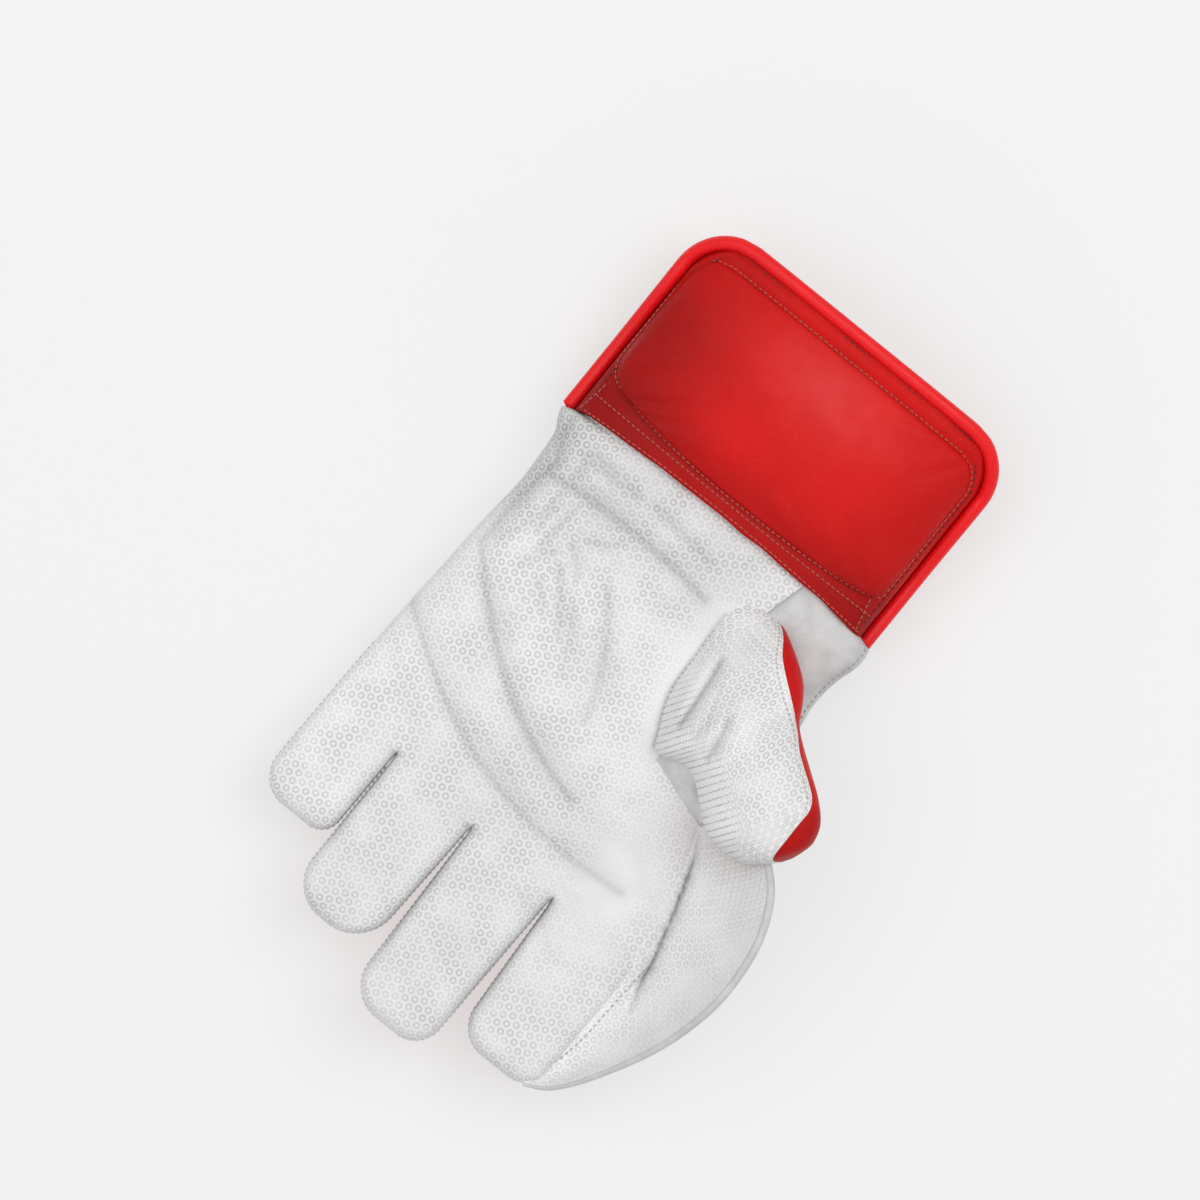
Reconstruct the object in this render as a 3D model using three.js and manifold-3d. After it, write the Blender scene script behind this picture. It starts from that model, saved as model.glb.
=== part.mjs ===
// Wicketkeeping glove for the left hand, lying on its back with the palm up.
// Millimetres. +Z is up, +Y points to the fingertips, the thumb and the web lie on the -X side.
// While it is modelled, y = 0 is the hem of the hand at the wrist, x = 0 the middle of the knuckles
// and z = 0 the surface that the back of the hand lies on. At the end the whole is centred.

import * as THREE from 'three';
import { mergeVertices } from 'three/addons/utils/BufferGeometryUtils.js';
import Module from 'manifold-3d';

const wasm = await Module();
wasm.setup();

// Hand
const palmLength = 142;
const handWidth = 148;
const palmDepth = 42;
const fingerLength = 73;
const fingerDepth = 28;
const fingerGap = 0.7;
const fingerCurl = 20;
const tipRadius = 9;
const fingerRoot = 14;
const wall = 2.2;
const palmPadding = 4.6;
const seamShare = 0.45;

// Thumb
const thumbReach = 89;
const thumbWidth = 54;
const thumbDepth = 34;
const thumbRise = 36;
const thumbFoot = 26;
const thumbAngle = 147.4;
const thumbFromMiddle = -17;
const thumbFromWrist = 26;
const thumbLean = 0.27;
const thumbSeamSlope = 0.36;

// Catching web
const webLength = 118;
const webReach = 30;
const webRise = 38;
const webFoot = 28;
const webFromWrist = 84;
const webSag = 5;
const webWall = 2.4;
const bindingDiameter = 4;

// Cuff
const cuffWidth = 141;
const cuffLength = 83.5;
const cuffDepth = 44;
const cuffFlare = 5;
const cuffCorner = 21;
const cuffOffset = 4.5;
const cuffOverlap = 2.5;
const cuffWall = 2.5;
const hemTuck = 6;
const hemBow = 3;
const pipingDiameter = 5.5;
const padMargin = 8;
const padFromHem = 9;
const padThickness = 5;
const padEdge = 1.6;
const padCorner = 11;
const padShoulder = 0.2;

// Small pieces
const gussetWall = 1.8;
const gussetInset = 14;
const gussetHeight = 34;
const clearance = 0.3;

// Colours
const white = { color: 0xe4e4e2, roughness: 0.6 };
const smoothWhite = { color: 0xdededd, roughness: 0.5 };
const red = { color: 0xb8191a, roughness: 0.45 };
const brightRed = { color: 0xe0191f, roughness: 0.35 };

// The hand from the wrist to the knuckles: left and right edges as shares of half its width, the
// bottom as a share of its depth, and how far the depth has fallen from palm to finger.
const handRows = [
  { along: 0.06, left: -0.865, right: 0.955, bottom: 0.03, fall: 0.0, square: 3.4 },
  { along: 0.14, left: -0.845, right: 0.940, bottom: 0.0, fall: 0.0, square: 3.4 },
  { along: 0.24, left: -0.840, right: 0.932, bottom: 0.0, fall: 0.0, square: 3.4 },
  { along: 0.38, left: -0.905, right: 0.953, bottom: 0.0, fall: 0.1, square: 3.5 },
  { along: 0.52, left: -0.920, right: 0.966, bottom: 0.0, fall: 0.3, square: 3.7 },
  { along: 0.66, left: -0.935, right: 0.980, bottom: 0.0, fall: 0.5, square: 4.2 },
  { along: 0.83, left: -0.975, right: 0.993, bottom: 0.0, fall: 0.78, square: 5.0 },
  { along: 1.0, left: -1.0, right: 1.0, bottom: 0.02, fall: 1.0, square: 6.0 },
];

// Fingers from the index finger to the little one: where the stall ends across half the hand's width,
// its length as a share of the middle finger's, and how much each side draws in at the tip.
const fingerRows = [
  { name: 'index', until: -0.460, length: 0.822, drawLeft: 0.077, drawRight: 0.080 },
  { name: 'middle', until: 0.059, length: 1.0, drawLeft: 0.056, drawRight: 0.050 },
  { name: 'ring', until: 0.565, length: 0.795, drawLeft: 0.067, drawRight: 0.005 },
  { name: 'little', until: 1.0, length: 0.486, drawLeft: 0.018, drawRight: -0.020 },
];

// Folds of the palm: start, pull and end of each curve, x as shares of half the hand's width and
// y as shares of the palm's length; depth and width in millimetres.
const folds = [
  { x0: -0.70, y0: 0.887, x1: 0.243, y1: 0.958, x2: 0.96, y2: 0.648, depth: 1.8, width: 6 },
  { x0: -0.23, y0: 0.782, x1: 0.311, y1: 0.746, x2: 0.878, y2: 0.430, depth: 2.4, width: 6 },
  { x0: 0.878, y0: 0.430, x1: 0.905, y1: 0.310, x2: 0.851, y2: 0.169, depth: 2.2, width: 5 },
  { x0: -0.027, y0: 0.592, x1: 0.041, y1: 0.451, x2: 0.284, y2: 0.310, depth: 1.4, width: 6 },
  { x0: 0.311, y0: 0.486, x1: 0.405, y1: 0.423, x2: 0.514, y2: 0.345, depth: 1.4, width: 5 },
  { x0: -0.122, y0: 0.183, x1: 0.378, y1: 0.148, x2: 0.851, y2: 0.183, depth: 2.4, width: 6 },
];

// Sections of the thumb: edge towards the wrist and edge towards the fingers as shares of its width,
// height of the middle, depth, height of the seam between face and back as a share of half the depth,
// and how much the padded rolls of the back add to its depth.
const thumbRows = [
  { along: -0.07, near: -0.20, far: 0.09, rise: 0.0, depth: 0.70, seam: 0.3, roll: 0.0 },
  { along: 0.09, near: -0.34, far: 0.26, rise: 0.17, depth: 0.86, seam: 0.3, roll: 0.05 },
  { along: 0.22, near: -0.37, far: 0.47, rise: 0.33, depth: 0.94, seam: 0.35, roll: 0.16 },
  { along: 0.36, near: -0.36, far: 0.62, rise: 0.47, depth: 1.0, seam: 0.35, roll: 0.14 },
  { along: 0.44, near: -0.31, far: 0.70, rise: 0.55, depth: 1.0, seam: 0.3, roll: 0.0 },
  { along: 0.51, near: -0.25, far: 0.57, rise: 0.62, depth: 1.0, seam: 0.25, roll: 0.02 },
  { along: 0.58, near: -0.23, far: 0.52, rise: 0.69, depth: 1.0, seam: 0.25, roll: 0.14 },
  { along: 0.70, near: -0.22, far: 0.54, rise: 0.81, depth: 0.95, seam: 0.3, roll: 0.0 },
  { along: 0.81, near: -0.21, far: 0.55, rise: 0.89, depth: 0.91, seam: 0.4, roll: 0.12 },
  { along: 0.91, near: -0.17, far: 0.47, rise: 0.94, depth: 0.80, seam: 0.6, roll: 0.14 },
  { along: 0.97, near: -0.09, far: 0.37, rise: 0.97, depth: 0.60, seam: 0.9, roll: 0.08 },
  { along: 1.0, near: 0.0, far: 0.24, rise: 0.98, depth: 0.32, seam: 1.2, roll: 0.0 },
];

// Sections across the web from the thumb's tip to the index finger's tip. Along the glove as shares
// of the web's length, across it from the index finger's edge as shares of its reach, and heights as
// shares of its rise.
const webRows = [
  { seamAlong: 0.02, seamOut: -0.53, seamUp: 0.12, edgeAlong: -0.02, edgeOut: 0.25, edgeUp: 0.79 },
  { seamAlong: 0.085, seamOut: -0.43, seamUp: 0.08, edgeAlong: 0.07, edgeOut: 0.61, edgeUp: 0.92 },
  { seamAlong: 0.21, seamOut: -0.23, seamUp: 0.05, edgeAlong: 0.20, edgeOut: 0.84, edgeUp: 1.0 },
  { seamAlong: 0.36, seamOut: -0.07, seamUp: 0.02, edgeAlong: 0.36, edgeOut: 0.92, edgeUp: 1.0 },
  { seamAlong: 0.49, seamOut: 0.0, seamUp: 0.0, edgeAlong: 0.50, edgeOut: 0.87, edgeUp: 0.90 },
  { seamAlong: 0.64, seamOut: -0.02, seamUp: 0.02, edgeAlong: 0.66, edgeOut: 0.69, edgeUp: 0.72 },
  { seamAlong: 0.78, seamOut: -0.04, seamUp: 0.08, edgeAlong: 0.84, edgeOut: 0.34, edgeUp: 0.50 },
  { seamAlong: 0.90, seamOut: -0.14, seamUp: 0.14, edgeAlong: 0.94, edgeOut: 0.06, edgeUp: 0.32 },
  { seamAlong: 0.97, seamOut: -0.30, seamUp: 0.18, edgeAlong: 0.985, edgeOut: -0.22, edgeUp: 0.24 },
];

// Lengths that follow from the driving ones
const halfHand = handWidth / 2;
const pipingRadius = pipingDiameter / 2;
const handEnd = palmLength + fingerLength;
const liftStart = 0.8 * palmLength;
const cuffHalf = cuffWidth / 2 - pipingRadius;
const cuffMiddle = cuffDepth / 2;
const cuffEnd = -cuffLength + pipingRadius;
const cornerRadius = cuffCorner - pipingRadius;
const cuffSquare = 3.4;
const flatShare = 0.94;

// Smooth reading of one column of a table at a place along it
function readRow(rows, place, column, key = 'along') {
  const last = rows.length - 1;
  if (place <= rows[0][key]) return rows[0][column];
  if (place >= rows[last][key]) return rows[last][column];
  const i = rows.findIndex((row) => row[key] > place) - 1;
  const a = rows[i];
  const b = rows[i + 1];
  const before = rows[Math.max(i - 1, 0)];
  const after = rows[Math.min(i + 2, last)];
  const span = b[key] - a[key];
  const t = (place - a[key]) / span;
  const startSlope = ((b[column] - before[column]) / (b[key] - before[key])) * span;
  const endSlope = ((after[column] - a[column]) / (after[key] - a[key])) * span;
  const t2 = t * t;
  const t3 = t2 * t;
  return (2 * t3 - 3 * t2 + 1) * a[column] + (t3 - 2 * t2 + t) * startSlope
    + (3 * t2 - 2 * t3) * b[column] + (t3 - t2) * endSlope;
}

function spread(from, to, steps) {
  return Array.from({ length: steps + 1 }, (_, i) => from + ((to - from) * i) / steps);
}

// A closed body from a list of points and triangles
function toBody(points, faces) {
  const geometry = new THREE.BufferGeometry().setFromPoints(points);
  geometry.setIndex(faces.flat());
  return fromGeometry(geometry);
}

function fromGeometry(source) {
  const bare = source.clone();
  bare.deleteAttribute('normal');
  bare.deleteAttribute('uv');
  const merged = mergeVertices(bare, 1e-4);
  const vertProperties = new Float32Array(merged.attributes.position.array);
  const triVerts = new Uint32Array(merged.index.array);
  if (signedVolume(vertProperties, triVerts) < 0) {
    for (let i = 0; i < triVerts.length; i += 3) {
      const held = triVerts[i];
      triVerts[i] = triVerts[i + 1];
      triVerts[i + 1] = held;
    }
  }
  return new wasm.Manifold(new wasm.Mesh({ numProp: 3, vertProperties, triVerts }));
}

function signedVolume(vertices, triangles) {
  const corner = (i) => new THREE.Vector3().fromArray(vertices, 3 * triangles[i]);
  let total = 0;
  for (let i = 0; i < triangles.length; i += 3) {
    total += corner(i).dot(corner(i + 1).cross(corner(i + 2)));
  }
  return total;
}

// A body lofted through closed rings with as many points each
function loft(rings) {
  const count = rings[0].length;
  const points = rings.flat();
  const faces = [];
  for (let r = 0; r < rings.length - 1; r += 1) {
    for (let k = 0; k < count; k += 1) {
      const a = r * count + k;
      const b = r * count + ((k + 1) % count);
      faces.push([a, b, b + count], [a, b + count, a + count]);
    }
  }
  for (const [ring, flip] of [[0, true], [rings.length - 1, false]]) {
    const middle = new THREE.Vector3();
    rings[ring].forEach((point) => middle.addScaledVector(point, 1 / count));
    const centre = points.push(middle) - 1;
    for (let k = 0; k < count; k += 1) {
      const a = ring * count + k;
      const b = ring * count + ((k + 1) % count);
      faces.push(flip ? [centre, b, a] : [centre, a, b]);
    }
  }
  return toBody(points, faces);
}

// A sheet with two sides: its surface is a grid of points, and each side lies a distance off it
function sheet(surface, across, along, below, above) {
  const step = 1e-3;
  const offset = (u, v, distance) => {
    const point = surface(u, v);
    const du = surface(u + step, v).sub(surface(u - step, v));
    const dv = surface(u, v + step).sub(surface(u, v - step));
    return point.addScaledVector(du.cross(dv).normalize(), distance(u, v));
  };
  const points = [];
  for (const side of [below, above]) {
    for (const v of along) {
      for (const u of across) points.push(offset(u, v, side));
    }
  }
  const nu = across.length;
  const nv = along.length;
  const at = (side, i, j) => side * nu * nv + j * nu + i;
  const faces = [];
  const quad = (a, b, c, d) => faces.push([a, b, c], [a, c, d]);
  for (let j = 0; j < nv - 1; j += 1) {
    for (let i = 0; i < nu - 1; i += 1) {
      quad(at(0, i, j), at(0, i, j + 1), at(0, i + 1, j + 1), at(0, i + 1, j));
      quad(at(1, i, j), at(1, i + 1, j), at(1, i + 1, j + 1), at(1, i, j + 1));
    }
  }
  for (let i = 0; i < nu - 1; i += 1) {
    quad(at(0, i, 0), at(0, i + 1, 0), at(1, i + 1, 0), at(1, i, 0));
    quad(at(0, i, nv - 1), at(1, i, nv - 1), at(1, i + 1, nv - 1), at(0, i + 1, nv - 1));
  }
  for (let j = 0; j < nv - 1; j += 1) {
    quad(at(0, 0, j), at(1, 0, j), at(1, 0, j + 1), at(0, 0, j + 1));
    quad(at(0, nu - 1, j), at(0, nu - 1, j + 1), at(1, nu - 1, j + 1), at(1, nu - 1, j));
  }
  return toBody(points, faces);
}

// A round cord of a given radius along a list of points
function pipe(route, radius, steps, sides) {
  const curve = new THREE.CatmullRomCurve3(route);
  const outline = new THREE.Shape();
  for (let k = 0; k < sides; k += 1) {
    const angle = (2 * Math.PI * k) / sides;
    const x = radius * Math.cos(angle);
    const y = radius * Math.sin(angle);
    if (k === 0) outline.moveTo(x, y);
    else outline.lineTo(x, y);
  }
  outline.closePath();
  return fromGeometry(new THREE.ExtrudeGeometry(outline, { steps, extrudePath: curve }));
}

// Where the columns of a section lie, from -1 to 1, closer together near its edges
function columns(count) {
  return spread(-1, 1, count).map((t) => t * (1.5 - 0.5 * t * t));
}

// How high a rounded section stands at a share of its half width
function roundness(share, square) {
  const s = Math.min(Math.abs(share), 1);
  return Math.pow(1 - Math.pow(s, square), 1 / square);
}

// Rise of the curled fingers above the surface that the glove lies on
function lift(y) {
  const share = Math.max(0, (y - liftStart) / (handEnd - liftStart));
  return fingerCurl * Math.pow(share, 1.8);
}

// Bottom and top of the hand along it
const wristDepth = cuffDepth - 2 * (cuffWall + clearance);

function handBottom(y) {
  const row = Math.max(0, readRow(handRows, y / palmLength, 'bottom') * palmDepth);
  const atWrist = cuffWall + clearance;
  const blend = THREE.MathUtils.smoothstep(y, cuffOverlap, 0.16 * palmLength);
  return THREE.MathUtils.lerp(atWrist, row, blend) + lift(y);
}

function handTop(y) {
  const fall = readRow(handRows, y / palmLength, 'fall');
  const row = THREE.MathUtils.lerp(palmDepth, fingerDepth, fall);
  const blend = THREE.MathUtils.smoothstep(y, cuffOverlap, 0.16 * palmLength);
  return THREE.MathUtils.lerp(cuffWall + clearance + wristDepth, row, blend) + lift(y);
}

// Depth of the palm's folds at a place
function foldDepth(x, y) {
  let depth = 0;
  for (const fold of folds) {
    let nearest = Infinity;
    for (const t of spread(0, 1, 14)) {
      const s = 1 - t;
      const fx = (s * s * fold.x0 + 2 * s * t * fold.x1 + t * t * fold.x2) * halfHand;
      const fy = (s * s * fold.y0 + 2 * s * t * fold.y1 + t * t * fold.y2) * palmLength;
      nearest = Math.min(nearest, Math.hypot(x - fx, y - fy));
    }
    depth += fold.depth * Math.exp(-Math.pow(nearest / fold.width, 2));
  }
  return depth;
}

// One ring of a section across the hand or a finger; the inset is the wall at the sides and
// below, and the padding is the wall above
function ring(y, left, right, bottom, top, square, count, inset, padding, folded) {
  const middle = (left + right) / 2;
  const half = (right - left) / 2 - inset;
  const low = bottom + inset;
  const high = top - padding;
  const centre = (low + high) / 2;
  const rise = (high - low) / 2;
  const upper = columns(count).map((share) => {
    const x = middle + share * half;
    const z = centre + rise * roundness(share, square);
    return new THREE.Vector3(x, y, z - (folded ? foldDepth(x, y) * roundness(share, 2) : 0));
  });
  const lower = columns(count / 2).slice(1, -1).reverse().map((share) => {
    const drop = Math.min(roundness(share, square) / flatShare, 1);
    return new THREE.Vector3(middle + share * half, y, centre - rise * drop);
  });
  return [...upper, ...lower];
}

// The body of the hand without its fingers
function palmBody(inset, padding, fine) {
  const start = -hemTuck - (inset > 0 ? 1 : 0);
  const end = palmLength - Math.max(inset, 0);
  const stations = [start, cuffOverlap, ...spread(0.06 * palmLength, end, fine ? 15 : 9)];
  const wristHalf = cuffHalf - cuffWall - clearance;
  const rings = stations.map((y) => {
    const share = y / palmLength;
    const blend = THREE.MathUtils.smoothstep(y, cuffOverlap, 0.06 * palmLength);
    const rowLeft = readRow(handRows, share, 'left') * halfHand;
    const rowRight = readRow(handRows, share, 'right') * halfHand;
    const left = THREE.MathUtils.lerp(cuffOffset - wristHalf, rowLeft, blend);
    const right = THREE.MathUtils.lerp(cuffOffset + wristHalf, rowRight, blend);
    const square = readRow(handRows, share, 'square');
    return ring(y, left, right, handBottom(y), handTop(y), square, fine ? 20 : 12, inset,
      padding, fine);
  });
  return loft(rings);
}

// One finger stall, from inside the palm to its flat rounded tip
function fingerBody(index, inset, padding, fine) {
  const row = fingerRows[index];
  const from = index === 0 ? -1 : fingerRows[index - 1].until;
  const left = from * halfHand + (index === 0 ? 0 : fingerGap / 2);
  const last = index === fingerRows.length - 1;
  const right = row.until * halfHand - (last ? 0 : fingerGap / 2);
  const length = row.length * fingerLength;
  const tip = palmLength + length;
  const radius = tipRadius;
  const stations = spread(palmLength - fingerRoot, tip - radius, fine ? 4 : 3)
    .map((y) => ({ y, round: 0 }));
  for (const angle of [0.5, 0.95, 1.35]) {
    stations.push({ y: tip - radius * (1 - Math.sin(angle)), round: 1 - Math.cos(angle) });
  }
  const rings = stations.map(({ y, round }) => {
    const share = THREE.MathUtils.clamp((y - palmLength) / length, 0, 1);
    const drawn = radius * round;
    const width = right - left;
    const near = left + row.drawLeft * width * share + drawn;
    const far = right - row.drawRight * width * share - drawn;
    const place = y - Math.max(inset, 0) * (share > 0 ? 1 : 0);
    return ring(place, near, far, handBottom(y) + 0.6 * drawn, handTop(y) - 0.6 * drawn, 3.0,
      8, inset, padding, false);
  });
  return loft(rings);
}

function handBody(inset, padding, fine) {
  let whole = palmBody(inset, padding, fine);
  for (let i = 0; i < fingerRows.length; i += 1) {
    whole = whole.add(fingerBody(i, inset, padding, fine));
  }
  return whole;
}

// The space over or under the seam that runs round the hand
function seamSide(above) {
  const shape = new THREE.Shape();
  const ends = spread(-hemTuck - 10, handEnd + 10, 24);
  const height = (y) => {
    const share = handBottom(y) + seamShare * (handTop(y) - handBottom(y));
    return share + (above ? clearance / 2 : -clearance / 2);
  };
  const far = above ? 2 * (palmDepth + fingerCurl) : -palmDepth;
  shape.moveTo(ends[0], far);
  ends.forEach((y) => shape.lineTo(y, height(y)));
  shape.lineTo(ends[ends.length - 1], far);
  shape.closePath();
  const geometry = new THREE.ExtrudeGeometry(shape, { depth: 2 * handWidth, bevelEnabled: false });
  geometry.translate(0, 0, -handWidth);
  geometry.applyMatrix4(new THREE.Matrix4().makeBasis(
    new THREE.Vector3(0, 1, 0),
    new THREE.Vector3(0, 0, 1),
    new THREE.Vector3(1, 0, 0),
  ));
  return fromGeometry(geometry);
}

// Thumb: its frame points along the stall in plan, across it towards the fingers, and up
const thumbTurn = THREE.MathUtils.degToRad(thumbAngle);
const thumbDirection = new THREE.Vector3(Math.cos(thumbTurn), Math.sin(thumbTurn), 0);
const thumbAcross = new THREE.Vector3(thumbDirection.y, -thumbDirection.x, 0);

function thumbPoint(along, across, up) {
  return new THREE.Vector3(thumbFromMiddle, thumbFromWrist, up)
    .addScaledVector(thumbDirection, along)
    .addScaledVector(thumbAcross, across);
}

function thumbSection(share) {
  const near = readRow(thumbRows, share, 'near') * thumbWidth;
  const far = readRow(thumbRows, share, 'far') * thumbWidth;
  return {
    along: share * thumbReach,
    middle: (near + far) / 2,
    half: (far - near) / 2,
    height: thumbFoot + thumbRise * readRow(thumbRows, share, 'rise'),
    rise: (thumbDepth / 2) * readRow(thumbRows, share, 'depth'),
    seam: readRow(thumbRows, share, 'seam'),
    roll: readRow(thumbRows, share, 'roll'),
  };
}

function thumbBody(inset, sides) {
  const shares = [...spread(thumbRows[0].along, 0.81, 9), 0.88, 0.94, 0.98, 1.0];
  const rings = shares.map((share) => {
    const s = thumbSection(share);
    const ends = Math.sign(share - 0.5) * Math.max(inset, 0) * (share > 0.85 ? 1 : 0);
    return Array.from({ length: sides }, (_, k) => {
      const angle = (2 * Math.PI * k) / sides;
      const bend = (value) => Math.sign(value) * Math.pow(Math.abs(value), 0.85);
      const across = Math.max(s.half - inset, 1) * bend(Math.cos(angle));
      const fullness = Math.sin(angle) < 0 ? 1 + s.roll : 1;
      const up = Math.max(s.rise - inset, 1) * bend(Math.sin(angle)) * fullness;
      return thumbPoint(s.along - ends, s.middle + across, s.height + up - thumbLean * across);
    });
  });
  return loft(rings);
}

// The space over or under the seam between the thumb's face and its back
function thumbSide(above) {
  const reach = 1.6;
  const shares = [thumbRows[0].along - 0.3, ...thumbRows.map((row) => row.along), 1.3];
  const rings = shares.map((share) => {
    const s = thumbSection(THREE.MathUtils.clamp(share, thumbRows[0].along, 1));
    const seam = (side) => s.height + s.rise * (s.seam - thumbSeamSlope * side)
      - thumbLean * side * s.half + (above ? clearance / 2 : -clearance / 2);
    const far = above ? 4 * thumbDepth : -2 * thumbDepth;
    const place = share * thumbReach;
    return [
      thumbPoint(place, s.middle - reach * s.half - thumbWidth, seam(-reach)),
      thumbPoint(place, s.middle + reach * s.half + thumbWidth, seam(reach)),
      thumbPoint(place, s.middle + reach * s.half + thumbWidth, far),
      thumbPoint(place, s.middle - reach * s.half - thumbWidth, far),
    ];
  });
  return loft(rings);
}

// Catching web: a sheet between its seam on the hand and its free edge
const webStart = -halfHand;

const webRowsByIndex = webRows.map((row, index) => ({ ...row, index }));

function webPoint(u, v) {
  const place = v * (webRows.length - 1);
  const read = (column) => readRow(webRowsByIndex, place, column, 'index');
  const seam = new THREE.Vector3(webStart - webReach * read('seamOut'),
    webFromWrist + webLength * read('seamAlong'), webFoot + webRise * read('seamUp'));
  const edge = new THREE.Vector3(webStart - webReach * read('edgeOut'),
    webFromWrist + webLength * read('edgeAlong'), webFoot + webRise * read('edgeUp'));
  const sag = webSag * 4 * u * (1 - u) * Math.sin(Math.PI * THREE.MathUtils.clamp(v, 0, 1));
  return seam.lerp(edge, u).add(new THREE.Vector3(-0.6 * sag, 0, -0.8 * sag));
}

// The web stops a clearance short of the rolled binding that runs along its edge
function webSheet(margin) {
  const surface = (u, v) => {
    const width = webPoint(0, v).distanceTo(webPoint(1, v));
    const stop = 1 - (bindingDiameter / 2 + 2 * clearance) / width;
    return webPoint(u * stop, v);
  };
  const half = webWall / 2 + margin;
  return sheet(surface, spread(-0.15, 1, 6), spread(0, 1, 14), () => -half, () => half);
}

// Cuff: height of its section and its outline with round corners, seen from above
function cuffRise(y) {
  const share = THREE.MathUtils.clamp(y / cuffEnd, 0, 1);
  return cuffMiddle + cuffFlare * share * share;
}

// Half width of the outline at a place along it
function cuffReach(y) {
  const past = THREE.MathUtils.clamp(cuffEnd + cornerRadius - y, 0, cornerRadius);
  return cuffHalf - cornerRadius + Math.sqrt(cornerRadius ** 2 - past ** 2);
}

const cornerStart = 1 - cornerRadius / cuffLength;
const cuffStations = [
  ...spread(0, cornerStart, 6),
  ...[0.25, 0.5, 0.75, 1].map((t) => cornerStart + (1 - cornerStart) * Math.sin((t * Math.PI) / 2)),
];

// A point on the cuff's outer surface; side is 1 for its front and -1 for its back
function cuffPoint(u, v, side) {
  const bow = hemBow * (1 - u * u) * (1 - v);
  const y = THREE.MathUtils.lerp(cuffOverlap - bow, cuffEnd, v);
  const turn = Math.asin(THREE.MathUtils.clamp(cuffReach(y) / cuffHalf, 0, 1));
  const x = cuffHalf * Math.sin(turn * u);
  const round = roundness(x / cuffHalf, cuffSquare);
  if (side > 0) return new THREE.Vector3(cuffOffset + x, y, cuffMiddle + cuffRise(y) * round);
  const room = pipingRadius + clearance;
  const fall = cuffMiddle - room * THREE.MathUtils.smoothstep(v, 0.6, 0.95);
  return new THREE.Vector3(cuffOffset + x, y, cuffMiddle - fall * Math.min(round / flatShare, 1));
}

function cuffSheet(side, above) {
  const surface = (u, v) => cuffPoint(-side * u, v, side);
  return sheet(surface, columns(14), cuffStations, () => -cuffWall, () => above);
}

// The piping runs along the middle of the cuff's wall at its outline
function pipingRoute(side) {
  const straight = side > 0 ? spread(0, 0.9 * cornerStart, 5) : [];
  const corner = spread(cornerStart + (side > 0 ? 0 : 0.02), 1, 4);
  const along = [...straight, ...corner].map((v) => cuffPoint(-1, v, side));
  const end = spread(-0.8, 0.8, 8).map((u) => cuffPoint(u, 1, side));
  const mirrored = along.map((p) => new THREE.Vector3(2 * cuffOffset - p.x, p.y, p.z)).reverse();
  return [...along, ...end, ...mirrored];
}

// The raised pad on the cuff's front, bowed towards the wrist like the hem
function padPoint(u, v) {
  const halfPad = cuffHalf - padMargin;
  const start = -padFromHem + hemBow * u * u;
  const end = cuffEnd + padMargin;
  const y = THREE.MathUtils.lerp(start, end, v);
  const past = THREE.MathUtils.clamp(Math.max(end + padCorner - y, y - start + padCorner), 0, padCorner);
  const reach = halfPad - padCorner + Math.sqrt(padCorner ** 2 - past ** 2);
  const x = halfPad * Math.sin(Math.asin(reach / halfPad) * u);
  const z = cuffMiddle + cuffRise(y) * roundness(x / cuffHalf, cuffSquare);
  return new THREE.Vector3(cuffOffset + x, y, z);
}

function padSheet() {
  const crown = (u, v) => {
    const side = Math.min(1, (1 - Math.abs(u)) / padShoulder);
    const end = Math.min(1, Math.min(v, 1 - v) / padShoulder);
    return clearance + padEdge + (padThickness - padEdge) * Math.sqrt(side * end);
  };
  const across = columns(10);
  const along = columns(8).map((t) => (t + 1) / 2);
  const pad = sheet((u, v) => padPoint(-u, v), across, along, () => -cuffWall / 2, crown);
  return pad.subtract(cuffSheet(1, clearance));
}

// The space of the smooth gusset beside the wrist, between the thumb's foot and the cuff
function wristGussetSpace(margin) {
  const outer = -handWidth;
  const inner = thumbFromMiddle - gussetInset + margin;
  const low = -hemTuck - palmDepth;
  const high = gussetHeight + margin;
  const shape = new THREE.Shape();
  shape.moveTo(outer, low);
  shape.lineTo(inner, low);
  shape.lineTo(inner, high / 2);
  shape.lineTo(inner - gussetInset, high);
  shape.lineTo(outer, high);
  shape.closePath();
  const geometry = new THREE.ExtrudeGeometry(shape, { depth: 3 * palmDepth, bevelEnabled: false });
  geometry.translate(0, 0, -palmDepth);
  return fromGeometry(geometry);
}

// A strip from the palm's surface up to the side of the thumb
function gussetPoint(u, v) {
  const mix = THREE.MathUtils.lerp;
  const low = thumbPoint(mix(0.78, 0.48, u) * thumbReach, mix(0.565, 0.765, u) * thumbWidth, 0);
  low.z = handTop(low.y) - palmPadding;
  const share = mix(0.715, 0.43, u);
  const high = thumbPoint(share * thumbReach, mix(0.43, 0.53, u) * thumbWidth,
    thumbSection(share).height);
  return low.lerp(high, v);
}

// Put the pieces together
const hand = handBody(0, 0, true);
const handRoom = handBody(wall, palmPadding, false);
const handKeep = handBody(-clearance, -clearance, true);
const thumb = thumbBody(0, 20);
const thumbRoom = thumbBody(wall, 12);
const thumbKeep = thumbBody(-clearance, 20);
const shell = hand.subtract(handRoom).subtract(thumbRoom);
const thumbShell = thumb.subtract(thumbRoom).subtract(handKeep);
const facing = shell.intersect(seamSide(true));
const frontPipe = pipe(pipingRoute(1), pipingRadius, 44, 8);
const frontPipeKeep = pipe(pipingRoute(1), pipingRadius + clearance, 44, 8);
const backPipe = pipe(pipingRoute(-1), pipingRadius, 28, 8);
const backPipeKeep = pipe(pipingRoute(-1), pipingRadius + clearance, 28, 8);
const bindingRoute = spread(0, 1, 12).map((v) => webPoint(1, v));
const binding = pipe(bindingRoute, bindingDiameter / 2, 24, 6);

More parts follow.
